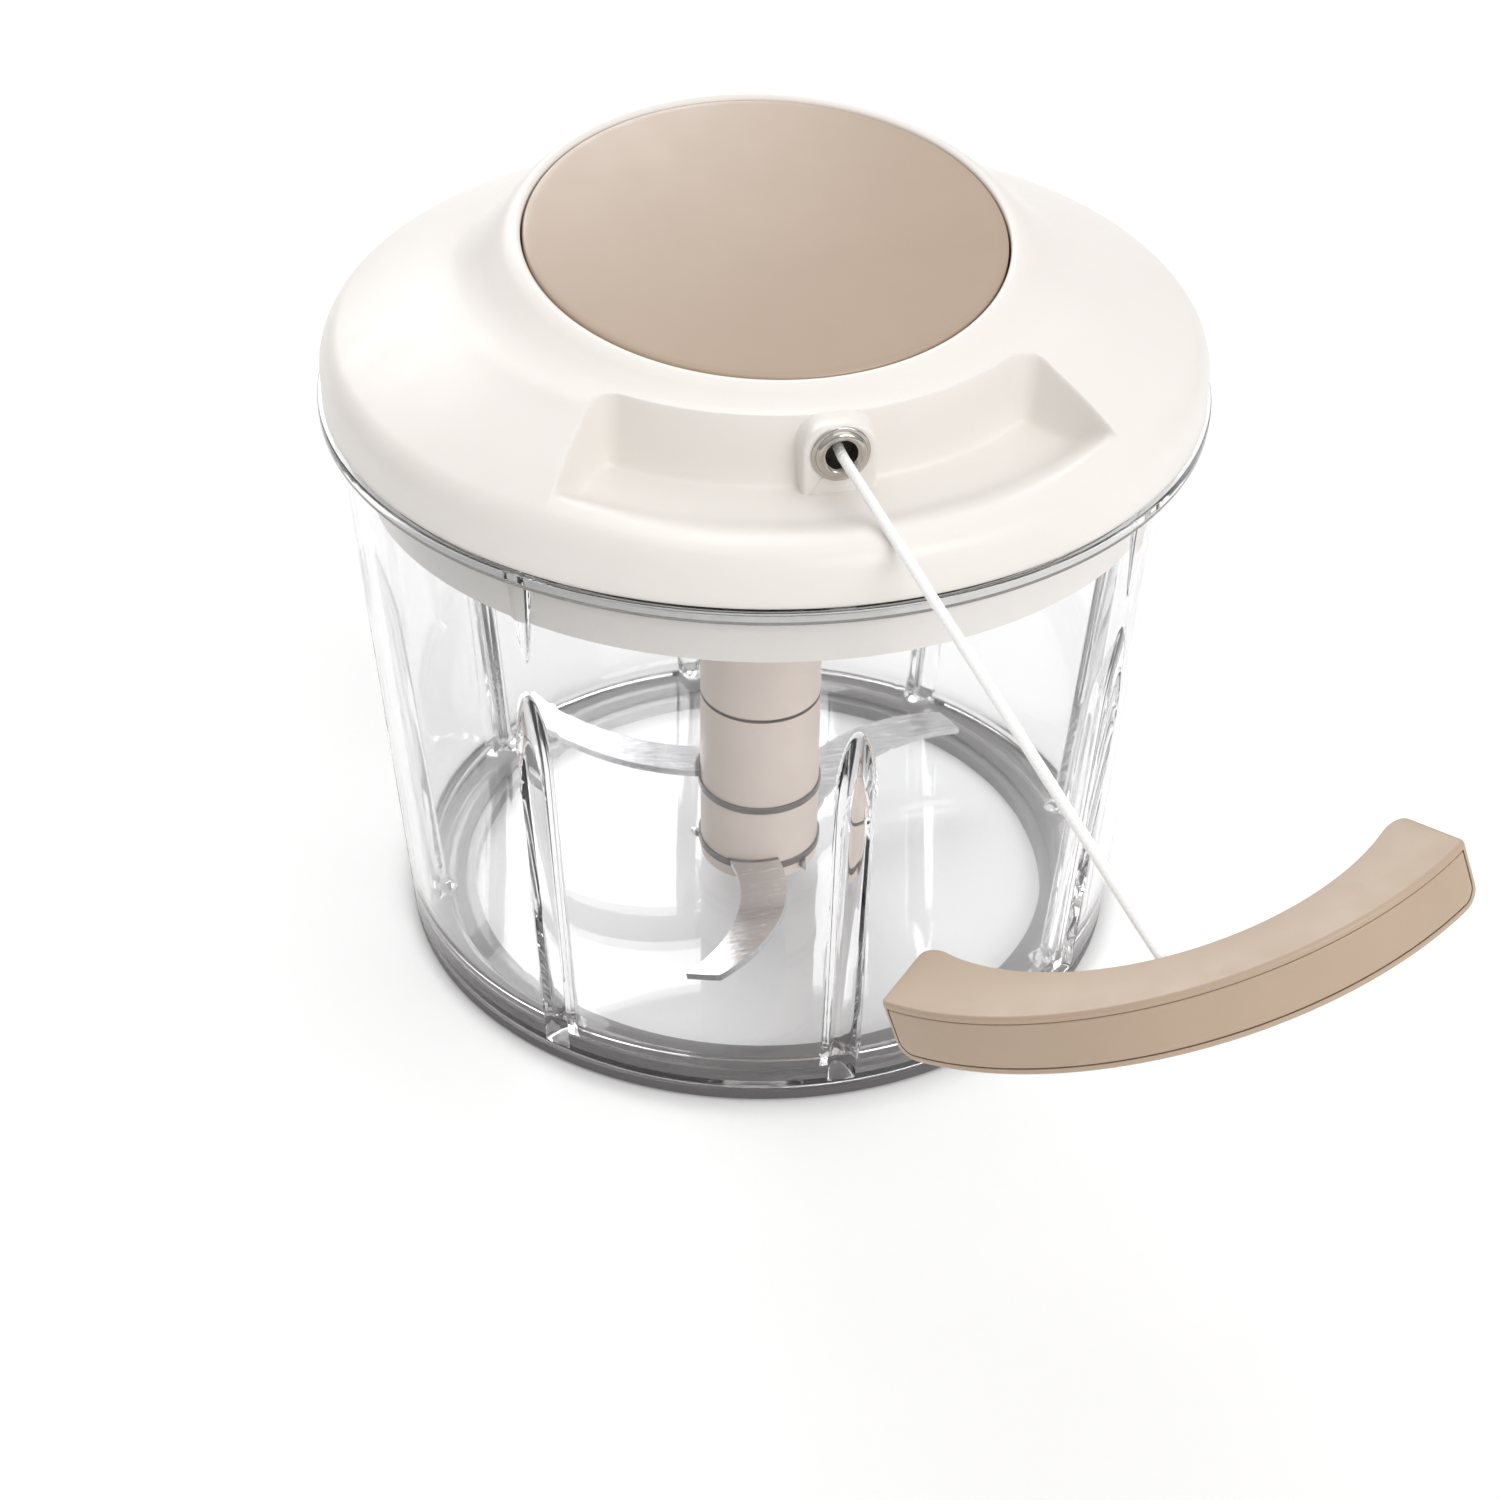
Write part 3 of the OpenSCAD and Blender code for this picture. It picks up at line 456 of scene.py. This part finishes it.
def lid_height(r, turn, height, grow=0.0):
    """Height of the lid's skin: the dome of that radius, leaning with the cap near the collar, or the
    tray's cut where that is lower."""
    x, y = r * np.sin(turn), -r * np.cos(turn)
    lean = 1 - ease(r, tilt_near, tilt_far)
    return soft_low(height + np.tan(cap_lean) * y * lean, recess_height(x, y, grow), edge_fillet)


# the columns stand closest together at the tray's ends, and the rows at its back wall
half_turn = np.radians(np.concatenate([np.linspace(0, 40, 60, endpoint=False),
                                       np.linspace(40, 49, 56, endpoint=False),
                                       np.linspace(49, 180, 176)]))
turn = np.concatenate([half_turn, 2 * np.pi - half_turn[-2:0:-1]])
seat_r = (cap_r + cap_gap) / np.sqrt(np.sin(turn) ** 2 + (np.cos(turn) / np.cos(cap_lean)) ** 2)
rows_out = np.concatenate([np.linspace(38.65, 40.2, 9), np.linspace(40.6, 45.8, 14),
                           np.linspace(46.0, 48.6, 30), np.linspace(49.0, 66.5, 34), [67.3]])[:, None] * mm
oval = seat_r - rows_out[0]
r_dome = rows_out + oval * (1 - ease(rows_out, rows_out[0], collar_blend))
collar = collar_drop * np.exp(-(r_dome - seat_r) / collar_fade)
z_dome = lid_height(r_dome, turn, through(r_dome, dome_r, dome_z) - collar)
bend = np.radians(np.linspace(shoulder_start, 0, 14))[:, None]
r_turn = lid_r - shoulder_r + shoulder_r * np.cos(bend) + 0 * turn
z_turn = lid_height(r_turn, turn, shoulder_z + shoulder_r * np.sin(bend))
side_z = np.array([106.2, 105.0, 104.0, 103.5, 103.25, 103.15]) * mm
side_r = np.array([0, 0, 0, 0, 0.08, 0.3]) * mm
r_side = (lid_r - side_r)[:, None] + 0 * turn
z_side = side_z[:, None] + 0 * turn
inner_z = np.array([103.15, 105.0, 107.2]) * mm
inner_r = np.array([0, 0, 1.5]) * mm
r_in = (lid_r - shell_t - inner_r)[:, None] + 0 * turn
z_in = inner_z[:, None] + 0 * turn
rows_back = np.linspace(65.0, 39.8, 44)[:, None] * mm
r_back = rows_back + oval * (1 - ease(rows_back, rows_out[0], collar_blend))
z_back = lid_height(r_back, turn, through(r_back, dome_r, dome_z), shell_t) - shell_t
gap_down = np.array([2.2, 0.5])[:, None] * mm
r_gap = np.stack([seat_r, seat_r])
z_gap = z_dome[:1] - gap_down
r_lid = np.concatenate([r_gap, r_dome, r_turn, r_side, r_in, r_back])
z_lid = np.concatenate([z_gap, z_dome, z_turn, z_side, z_in, z_back])
lid_points = np.stack([r_lid * np.sin(turn), -r_lid * np.cos(turn), z_lid], axis=-1)

satin, shader, place = surface("cream_satin", cream, 0.38)
mottle = noise(satin, place, 22 * mm, detail=3)
dye(satin, shader, mottle, cream, 0.012)
gloss(satin, shader, noise(satin, place, 6 * mm), 0.34, 0.42)
relief(satin, shader, noise(satin, place, 0.35 * mm, detail=3), 0.012 * mm)
shader.inputs["Subsurface Weight"].default_value = 0.15
shader.inputs["Subsurface Radius"].default_value = (1.2 * mm, 0.9 * mm, 0.6 * mm)
lid = wear(skin("lid_dome", lid_points, along=True, crease=50), satin)
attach(lid, "lid")
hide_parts("lid_housing")

# Eyelet boss
# A block with a rounded top on the tray's back wall, moulded in one with the lid, that holds the eyelet.
# It flares a little where it grows out of the wall; the hole for the eyelet goes through it.
boss_half = 5.7 * mm
boss_top = 120.7 * mm
boss_foot = 108.0 * mm
boss_corner = 4.2 * mm
boss_front = 50.3 * mm
boss_back = 46.6 * mm
boss_round = 0.7 * mm
boss_flare = 0.5 * mm
boss_flare_end = 48.9 * mm
boss_bore = 3.5 * mm
eyelet_z = 116.2 * mm

shoulder_x, shoulder_up = boss_half - boss_corner, boss_top - boss_corner
tomb = np.concatenate([line((boss_half, boss_foot), (boss_half, shoulder_up), 16)[:-1],
                       arc((shoulder_x, shoulder_up), boss_corner, 0, 90, 16),
                       line((shoulder_x, boss_top), (-shoulder_x, boss_top), 10)[1:-1],
                       arc((-shoulder_x, shoulder_up), boss_corner, 90, 180, 16),
                       line((-boss_half, shoulder_up), (-boss_half, boss_foot), 16)[1:],
                       line((-boss_half, boss_foot), (boss_half, boss_foot), 14)[1:-1]])
along_tomb = np.roll(tomb, -1, axis=0) - np.roll(tomb, 1, axis=0)
along_tomb /= np.linalg.norm(along_tomb, axis=1, keepdims=True)
out_tomb = np.stack([along_tomb[:, 1], -along_tomb[:, 0]], axis=-1)
toward = np.linspace(0, 1, 8)
quarter = np.radians(np.linspace(0, 90, 7))
grow = np.concatenate([boss_flare * (1 - toward) ** 2, boss_round * (np.cos(quarter) - 1)])
depth = np.concatenate([boss_back + (boss_flare_end - boss_back) * toward,
                        boss_front - boss_round + boss_round * np.sin(quarter)])
block = tomb + grow[:, None, None] * out_tomb
around_hole = np.arctan2(tomb[:, 1] - eyelet_z, tomb[:, 0])
bore = np.stack([boss_bore * np.cos(around_hole), eyelet_z + boss_bore * np.sin(around_hole)], axis=-1)
face_rows = np.array([0.85, 0.5, 0.1])[:, None, None]
face = bore + (block[-1] - bore) * face_rows
block = np.concatenate([block, face, np.stack([bore, bore])])
depth = np.concatenate([depth, [boss_front] * 4, [boss_back]])
boss_points = np.stack([block[..., 0], -depth[:, None] + 0 * block[..., 0], block[..., 1]], axis=-1)
boss = wear(skin("eyelet_boss", boss_points, along=True, crease=50), satin)
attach(boss, "lid")

# Cap
# A taupe satin disc let into the lid's top with a fine dark gap round it. It leans towards the cord,
# is very slightly crowned, and its edge is broken by a small round.
crown_rise = 0.8 * mm
cap_edge = 0.6 * mm
cap_depth = 2.5 * mm
cap_side = 1.2 * mm
cap_under = 3 * mm
cap_pole = 0.4 * mm
taupe = (0.39, 0.289, 0.212)


def revolve(profile, count):
    """Grid of a radius and height profile turned about the vertical axis."""
    round_angle = np.linspace(0, 2 * np.pi, count, endpoint=False)
    return np.stack([profile[:, :1] * np.sin(round_angle), -profile[:, :1] * np.cos(round_angle),
                     profile[:, 1:] + 0 * round_angle], axis=-1)


cap_out = np.linspace(cap_pole, cap_r - cap_edge, 40)
cap_top = crown_rise * (1 - (cap_out / cap_r) ** 2)
cap_profile = np.concatenate([np.stack([cap_out, cap_top], axis=-1),
                              arc((cap_r - cap_edge, -cap_edge), cap_edge, 80, 0, 7),
                              line((cap_r, -cap_side), (cap_r, -cap_depth), 3),
                              line((cap_r - cap_under, -cap_depth), (cap_pole, -cap_depth), 4)])
cap_points = revolve(cap_profile, 256)
lean_y = cap_points[..., 1] * np.cos(cap_lean) - cap_points[..., 2] * np.sin(cap_lean)
lean_z = cap_points[..., 1] * np.sin(cap_lean) + cap_points[..., 2] * np.cos(cap_lean) + cap_z
cap_points = np.stack([cap_points[..., 0], lean_y, lean_z], axis=-1)
matt, shader, place = surface("taupe_satin", taupe, 0.36)
mottle = noise(matt, place, 15 * mm, detail=3)
dye(matt, shader, mottle, taupe, 0.02)
gloss(matt, shader, noise(matt, place, 5 * mm), 0.33, 0.39)
relief(matt, shader, noise(matt, place, 0.22 * mm, detail=3), 0.014 * mm)
shader.inputs["Specular IOR Level"].default_value = 0.85
cap = wear(skin("cap_disc", cap_points, ends=True, crease=40), matt)
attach(cap, "lid")
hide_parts("top_cap")

# Eyelet
# A nickel-plated brass eyelet pressed into the boss. A thin flange lies on the boss, and a rolled lip
# inside it guides the cord round the edge of the hole.
eyelet_out = 51.5 * mm
eyelet_back = 42.5 * mm
flange_r = 4.5 * mm
hole_r = 2.3 * mm
flange_t = 0.55 * mm
flange_land = 0.5 * mm
flange_sink = 0.05 * mm
eyelet_wall = 0.6 * mm
nickel = (0.52, 0.49, 0.45)

lip_mid = (hole_r + flange_r - flange_t) / 2
lip_half = lip_mid - hole_r
flange_y = boss_front - flange_sink
eyelet_profile = np.concatenate([
    line((hole_r, eyelet_back), (hole_r, eyelet_out - lip_half), 5)[:-1],
    arc((lip_mid, eyelet_out - lip_half), lip_half, 180, 10, 16),
    line((flange_r - flange_land, flange_y + flange_t), (flange_r - flange_t / 2, flange_y + flange_t), 3),
    arc((flange_r - flange_t / 2, flange_y + flange_t / 2), flange_t / 2, 80, -90, 8),
    line((hole_r + eyelet_wall, flange_y), (hole_r + eyelet_wall, eyelet_back), 4)])
spun = revolve(eyelet_profile, 128)
eyelet_points = np.stack([spun[..., 0], -spun[..., 2], eyelet_z - spun[..., 1]], axis=-1)
plate, shader, place = surface("nickel_plate", nickel, 0.16, metal=1.0)
dye(plate, shader, noise(plate, place, 2 * mm), nickel, 0.06)
gloss(plate, shader, noise(plate, place, 0.8 * mm), 0.09, 0.17)
eyelet = wear(skin("eyelet_ring", eyelet_points, along=True, crease=45), plate)
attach(eyelet, "lid")
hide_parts("cord_eyelet")

# Eyelet throat
# Painted shade: a thin dark cup behind the rolled lip stands in for the unlit way through the eyelet into the
# lid.
# The cord comes out through its floor.
throat_front = 50.9 * mm
throat_back = 48.1 * mm
throat_r = 2.85 * mm
throat_t = 0.3 * mm
throat_pole = 0.2 * mm
throat_step, throat_under = 0.6 * mm, 0.4 * mm
# near-black painted shade for the throat, not the colour of any part
dark = (0.022, 0.019, 0.017)
throat_floor, throat_out = throat_back + throat_t, throat_r + throat_t
throat_profile = np.concatenate([line((throat_pole, throat_floor), (throat_r, throat_floor), 5),
                                 line((throat_r, throat_back + throat_step), (throat_r, throat_front), 4),
                                 line((throat_out, throat_front), (throat_out, throat_back), 4),
                                 line((throat_r - throat_under, throat_back), (throat_pole, throat_back), 3)])
spun = revolve(throat_profile, 64)
throat_points = np.stack([spun[..., 0], -spun[..., 2], eyelet_z - spun[..., 1]], axis=-1)
gloom, shader, place = surface("throat_painted_shade", dark, 0.7)
# speckle that varies the throat's painted shade
throat_shade_speckle = noise(gloom, place, 0.5 * mm)
dye(gloom, shader, throat_shade_speckle, dark, 0.2)
throat = wear(skin("eyelet_throat", throat_points, along=True, crease=45), gloom)
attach(throat, "lid")

# Handle
# A curved taupe bar that the cord is pulled by: a hollow grip, thicker towards its slanted ends, and a
# cover let into its outer face, so that a fine seam runs round close to the edges.
grip_turn = np.radians([-15, -16, -14])
grip_out = 50 * mm
grip_in = 34 * mm
grip_mid_t = 9.8 * mm
grip_half = np.radians(50)
grip_lean = np.radians(30)
grip_t = 8.8 * mm
grip_edge = 0.55 * mm
grip_inner_corner = 4.0 * mm
grip_outer_corner = 0.8 * mm
grip_end_round = 3.0 * mm
bead_depth = 4.5 * mm
seam_border = 0.95 * mm
seam_gap = 0.14 * mm
seam_deep = 0.7 * mm
seam_slack = 0.01 * mm
sliver = 0.02 * mm
cover_soft = 0.2 * mm
cover_sink = 0.3 * mm
cover_proud = 0.02 * mm
handle_taupe = (0.44, 0.332, 0.243)


def draw_in(inside, corner):
    """How far a side draws in at a distance inside an end, when a circle rounds the corner."""
    return corner - np.sqrt(corner ** 2 - np.clip(corner - inside, 0, corner) ** 2)


def along_bar(inside, centre, radius, middle):
    """Angles of a bar's rows on a circle about a point of the middle line. Near an end the rows lie parallel
    to it, at given distances inside; between the ends they are evenly spread."""
    tip = grip_out * np.array([np.sin(grip_half), -np.cos(grip_half)])
    way = np.array([np.sin(grip_lean), -np.cos(grip_lean)])
    start = tip - inside[:, None] * np.array([np.cos(grip_lean), np.sin(grip_lean)]) - np.array([0, centre])
    run = start @ way
    met = start + (np.sqrt(run ** 2 - (start ** 2).sum(axis=1) + radius ** 2) - run)[:, None] * way
    near = np.arctan2(met[:, 0], -met[:, 1])
    return np.concatenate([near, np.linspace(near[-1], -near[-1], middle)[1:-1], -near[::-1]])


def both_ends(near, middle):
    """Values of the rows near an end, the last one kept up along the bar, and the same at the other end."""
    return np.concatenate([near, np.full(middle - 2, near[-1]), near[::-1]])[:, None]


def held(points):
    """Turns points of the handle's own frame about X, Y and Z and moves them so that the place of the bead
    in it comes to where the bead is held."""
    (ca, cb, cc), (sa, sb, sc) = np.cos(grip_turn), np.sin(grip_turn)
    about_x = np.array([[1, 0, 0], [0, ca, -sa], [0, sa, ca]])
    about_y = np.array([[cb, 0, sb], [0, 1, 0], [-sb, 0, cb]])
    about_z = np.array([[cc, -sc, 0], [sc, cc, 0], [0, 0, 1]])
    bead = np.array([0, -(grip_out - grip_mid_t + bead_depth), -grip_t / 2])
    return (points - bead) @ (about_x @ about_y @ about_z).T + cord_bead


def bent_bar(inner, outer, low, high, edge, pocket=None):
    """Grid of a bent bar: each row is a rounded rectangle from a point of the inner face to a point of the
    outer face, drawn in at both by the first column of insets, and between two heights. A pocket
    sinks the outer face between its own heights on the rows that it covers; on the others its points
    stay on the face, spread a little so that no two meet."""
    (inner_angle, inner_centre, inner_r, inner_inset), (outer_angle, outer_r, outer_inset) = inner, outer
    foot = np.stack([inner_r * np.sin(inner_angle), inner_centre - inner_r * np.cos(inner_angle)], axis=-1)
    away = np.stack([outer_r * np.sin(outer_angle), -outer_r * np.cos(outer_angle)], axis=-1) - foot
    length = np.linalg.norm(away, axis=1, keepdims=True)
    quarter = np.linspace(0, np.pi / 2, 7)
    corner = np.concatenate([quarter + k * np.pi / 2 for k in range(4)])
    sign_a = np.repeat([1, -1, -1, 1], 7)
    sign_z = np.repeat([1, 1, -1, -1], 7)
    near, far = inner_inset, length - outer_inset
    across = (near + far) / 2 + sign_a * ((far - near) / 2 - edge) + edge * np.cos(corner)
    height = (low + high) / 2 + sign_z * ((high - low) / 2 - edge) + edge * np.sin(corner)
    if pocket is not None:
        pocket_low, pocket_high, deep, covered = pocket
        pocket_low = np.maximum(pocket_low, low + edge + sliver)
        pocket_high = np.minimum(pocket_high, high - edge - sliver)
        pocket_height = pocket_low + (pocket_high - pocket_low) * np.array([0, 0, 0.5, 1, 1])
        pocket_height = pocket_height + sliver * (1 - covered) * np.array([0, 1, 0, -1, 0])
        across = np.hstack([across, far - deep * covered * np.array([0, 1, 1, 1, 0])])
        height = np.hstack([height, pocket_height])
    flat = foot[:, None] + (across / length)[..., None] * away[:, None]
    return held(np.concatenate([flat, height[..., None]], axis=-1))


inside = np.array([0, 0.03, 0.1, 0.2, 0.33, 0.5, 0.7, 0.93, 0.95, 1.02,
                   1.12, 1.3, 1.5, 1.75, 2.1, 2.5, 3.0, 3.5, 4.0]) * mm
middle = 90
grip_in_y = -(grip_out - grip_mid_t - grip_in)
seam_low = seam_border - grip_t + draw_in(inside - seam_border, grip_end_round - seam_border)
seam_rows = (inside > seam_border - seam_slack).astype(float)
grip_points = bent_bar(
    (along_bar(inside, grip_in_y, grip_in, middle), grip_in_y, grip_in,
     both_ends(draw_in(inside, grip_inner_corner), middle)),
    (along_bar(inside, 0, grip_out, middle), grip_out, both_ends(draw_in(inside, grip_outer_corner), middle)),
    both_ends(draw_in(inside, grip_end_round) - grip_t, middle),
    both_ends(-draw_in(inside, grip_edge), middle), grip_edge,
    (both_ends(seam_low, middle), -seam_border, seam_deep, both_ends(seam_rows, middle)))
hold, shader, place = surface("taupe_grip", handle_taupe, 0.40)
mottle = noise(hold, place, 12 * mm, detail=3)
dye(hold, shader, mottle, handle_taupe, 0.02)
gloss(hold, shader, noise(hold, place, 4 * mm), 0.36, 0.44)
relief(hold, shader, noise(hold, place, 0.22 * mm, detail=3), 0.014 * mm)
grip = wear(skin("handle_grip_shell", grip_points, ends=True, crease=40), hold)
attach(grip, "handle")
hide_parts("handle_grip")

inside = np.array([0, 0.02, 0.07, 0.13, 0.2, 0.3, 0.45, 0.65, 0.9, 1.2, 1.5, 1.8]) * mm
cover_inside = inside + seam_border + seam_gap
cover_in, cover_out = grip_out - seam_deep - cover_sink, grip_out + cover_proud
cover_low = draw_in(inside, grip_end_round - seam_border) + draw_in(inside, cover_soft)
cover_points = bent_bar(
    (along_bar(cover_inside, 0, cover_in, middle), 0, cover_in, both_ends(0 * inside, middle)),
    (along_bar(cover_inside, 0, cover_out, middle), cover_out,
     both_ends(draw_in(inside, cover_soft), middle)),
    both_ends(seam_border + seam_gap - grip_t + cover_low, middle),
    both_ends(-seam_border - seam_gap - draw_in(inside, cover_soft), middle), cover_soft)
cover = wear(skin("handle_cover_panel", cover_points, ends=True, crease=50), hold)
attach(cover, "handle")
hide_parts("handle_cover")

# Spindle and drive
# Warm grey mouldings: the drive collar hangs from the lid and slips over the hexagon of the spindle,
# whose hubs clamp the blades. A dark band painted round the collar seam stands in for the shade in the fine
# gap where they meet.
seam_z, seam_wide = 41.0 * mm, 0.35 * mm
# colour of the painted shade in the collar seam's gap
seam_painted_shade = (0.09, 0.07, 0.06)
warm_grey = (0.68, 0.585, 0.525)


def between(material, shader, share, low, high):
    """Puts a colour on the shader that goes from low to high with a share. Either one is a plain colour or
    the output of another node."""
    links = material.node_tree.links
    mix = material.node_tree.nodes.new("ShaderNodeMix")
    mix.data_type = "RGBA"
    links.new(share, mix.inputs["Factor"])
    for socket, colour in ((mix.inputs[6], low), (mix.inputs[7], high)):
        if isinstance(colour, tuple):
            socket.default_value = (*colour, 1)
        else:
            links.new(colour, socket)
    links.new(mix.outputs[2], shader.inputs["Base Color"])


warm, shader, place = surface("warm_grey_satin", warm_grey, 0.42)
height = warm.node_tree.nodes.new("ShaderNodeSeparateXYZ")
warm.node_tree.links.new(place, height.inputs["Vector"])
# painted shade: a band at the collar seam's height, as wide as seam_wide, turns dark for the shade in the gap
seam_shade_band = warm.node_tree.nodes.new("ShaderNodeMath")
seam_shade_band.operation = "COMPARE"
seam_shade_band.inputs[1].default_value = seam_z
seam_shade_band.inputs[2].default_value = seam_wide
warm.node_tree.links.new(height.outputs["Z"], seam_shade_band.inputs[0])
mottle = tint(warm, noise(warm, place, 10 * mm, detail=3), warm_grey, 0.025)
between(warm, shader, seam_shade_band.outputs["Value"], mottle, seam_painted_shade)
gloss(warm, shader, noise(warm, place, 4 * mm), 0.38, 0.48)
relief(warm, shader, noise(warm, place, 0.3 * mm, detail=3), 0.012 * mm)
for name in ("drive_collar", "spindle_core", "spindle_upper_hub", "spindle_lower_hub", "spindle_foot",
             "cord_reel", "reel_bridge"):
    wear(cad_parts[name], warm)

# Blades and other steel
# Sickle blades stamped from stainless strip and polished; the ring that the hubs clamp is painted dark and
# not metallic, as painted shade in the seam between the hubs.
# The pin, axle, screws, spring, pawls and ratchet inside are the same bright steel.
blade_ring_r, ring_blend = 11.3 * mm, 0.4 * mm
# colour of the painted shade on the clamped ring of the blades
ring_painted_shade = (0.11, 0.095, 0.085)
steel_colour = (0.66, 0.66, 0.67)


def brushed(name):
    """Bright steel with fine streaks along X, from noise that is stretched that way."""
    material, shader, place = surface(name, steel_colour, 0.2, metal=1.0)
    streaks = noise(material, place, 0.5 * mm, detail=3, stretch=(0.15, 1, 1))
    gloss(material, shader, streaks, 0.14, 0.28)
    relief(material, shader, streaks, 0.008 * mm)
    return material, shader, place, streaks


steel, shader, place, streaks = brushed("bright_steel")
dye(steel, shader, streaks, steel_colour, 0.05)
for name in ("pivot_pin", "reel_axle", "recoil_spring", "pawl_1", "pawl_2",
             "drive_ratchet", "drive_ring", "lid_screw_1", "lid_screw_2", "lid_screw_3",
             "bridge_screw_1", "bridge_screw_2", "bridge_screw_3"):
    wear(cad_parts[name], steel)
blade, shader, place, streaks = brushed("blade_steel")
nodes, links = blade.node_tree.nodes, blade.node_tree.links
flat_place = nodes.new("ShaderNodeVectorMath")
flat_place.operation = "MULTIPLY"
flat_place.inputs[1].default_value = (1, 1, 0)
links.new(place, flat_place.inputs[0])
out = nodes.new("ShaderNodeVectorMath")
out.operation = "LENGTH"
links.new(flat_place.outputs["Vector"], out.inputs[0])
# inside the clamped ring the blade is painted dark and not metallic, as painted shade between the hubs
bright = nodes.new("ShaderNodeMapRange")
bright.inputs["From Min"].default_value = blade_ring_r
bright.inputs["From Max"].default_value = blade_ring_r + ring_blend
links.new(out.outputs["Value"], bright.inputs["Value"])
links.new(bright.outputs["Result"], shader.inputs["Metallic"])
between(blade, shader, bright.outputs["Result"], ring_painted_shade, tint(blade, streaks, steel_colour, 0.05))
for name in ("upper_blade", "lower_blade"):
    wear(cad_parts[name], blade)

# Plug and inner pieces
# The plug is a cream cup under the lid with a soft seal round it. The bush, the wound cord, the bead
# and its keeper are closed in and take the finish of what they are made of.
wear(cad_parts["lid_base"], satin)
seal_colour = (0.70, 0.70, 0.68)
silicone, shader, place = surface("pale_silicone", seal_colour, 0.55)
bloom = noise(silicone, place, 2 * mm, detail=3)
dye(silicone, shader, bloom, seal_colour, 0.03)
relief(silicone, shader, bloom, 0.02 * mm)
wear(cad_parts["lid_seal"], silicone)
bush_colour = (0.05, 0.05, 0.055)
bearing, shader, place = surface("black_acetal", bush_colour, 0.35)
grain = noise(bearing, place, 0.6 * mm)
dye(bearing, shader, grain, bush_colour, 0.1)
relief(bearing, shader, grain, 0.01 * mm)
wear(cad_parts["drive_bush"], bearing)
wear(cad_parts["bead_keeper"], hold)
for name in ("wound_cord", "cord_bead"):
    wear(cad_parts[name], braided)

# Floor and light
# A plain pale paper floor, and broad soft lamps from above, from in front and from behind.
# A pale sky that is darker near the horizon gives the clear wall its edges.
floor_colour = (0.93, 0.93, 0.93)
sky_colour = (1.0, 0.995, 0.99)
horizon, zenith, sky_full_z = 0.38, 0.72, 0.6
glass_bounces = 16
floor_mesh = bpy.data.meshes.new("floor")
span = 6.0
floor_mesh.from_pydata([(-span, -span, 0), (span, -span, 0), (span, span, 0), (-span, span, 0)], [],
                       [(0, 1, 2, 3)])
floor = bpy.data.objects.new("floor", floor_mesh)
bpy.context.scene.collection.objects.link(floor)
paper, shader, place = surface("pale_paper", floor_colour, 0.9)
relief(paper, shader, noise(paper, place, 1.5 * mm), 0.02 * mm)
wear(floor, paper)


def lamp(name, at, aim, size, watts):
    """Rectangular soft lamp that looks from one point at another."""
    light = bpy.data.lights.new(name, "AREA")
    light.shape = "RECTANGLE"
    light.size, light.size_y = size
    light.energy = watts
    item = bpy.data.objects.new(name, light)
    back = np.array(at, float) - np.array(aim, float)
    back /= np.linalg.norm(back)
    across_lamp = np.cross([0, 0, 1], back)
    across_lamp /= np.linalg.norm(across_lamp)
    pose = np.eye(4)
    pose[:3, 0], pose[:3, 1], pose[:3, 2], pose[:3, 3] = across_lamp, np.cross(back, across_lamp), back, at
    item.matrix_world = Matrix(pose)
    bpy.context.scene.collection.objects.link(item)


lamp("lamp_top", (0.2, -0.1, 1.25), (0, -0.03, 0.05), (1.2, 1.2), 3.9)
lamp("lamp_front", (0.55, -1.15, 0.75), (0, -0.05, 0.08), (0.9, 0.7), 7.6)
lamp("lamp_back", (-0.15, 1.05, 0.68), (0, 0, 0.12), (0.9, 0.55), 6.5)
world = bpy.data.worlds.new("studio")
world.use_nodes = True
sky = world.node_tree.nodes
sky_place = sky.new("ShaderNodeTexCoord")
sky_parts = sky.new("ShaderNodeSeparateXYZ")
sky_shade = sky.new("ShaderNodeMapRange")
sky_shade.inputs["From Min"].default_value = 0.0
sky_shade.inputs["From Max"].default_value = sky_full_z
sky_shade.inputs["To Min"].default_value = horizon
sky_shade.inputs["To Max"].default_value = zenith
world.node_tree.links.new(sky_place.outputs["Generated"], sky_parts.inputs["Vector"])
world.node_tree.links.new(sky_parts.outputs["Z"], sky_shade.inputs["Value"])
world.node_tree.links.new(sky_shade.outputs["Result"], sky["Background"].inputs["Strength"])
sky["Background"].inputs["Color"].default_value = (*sky_colour, 1)
bpy.context.scene.cycles.max_bounces = glass_bounces + 4
bpy.context.scene.cycles.glossy_bounces = glass_bounces
bpy.context.scene.cycles.transmission_bounces = glass_bounces
bpy.context.scene.world = world
bpy.context.scene.view_settings.view_transform = "Standard"
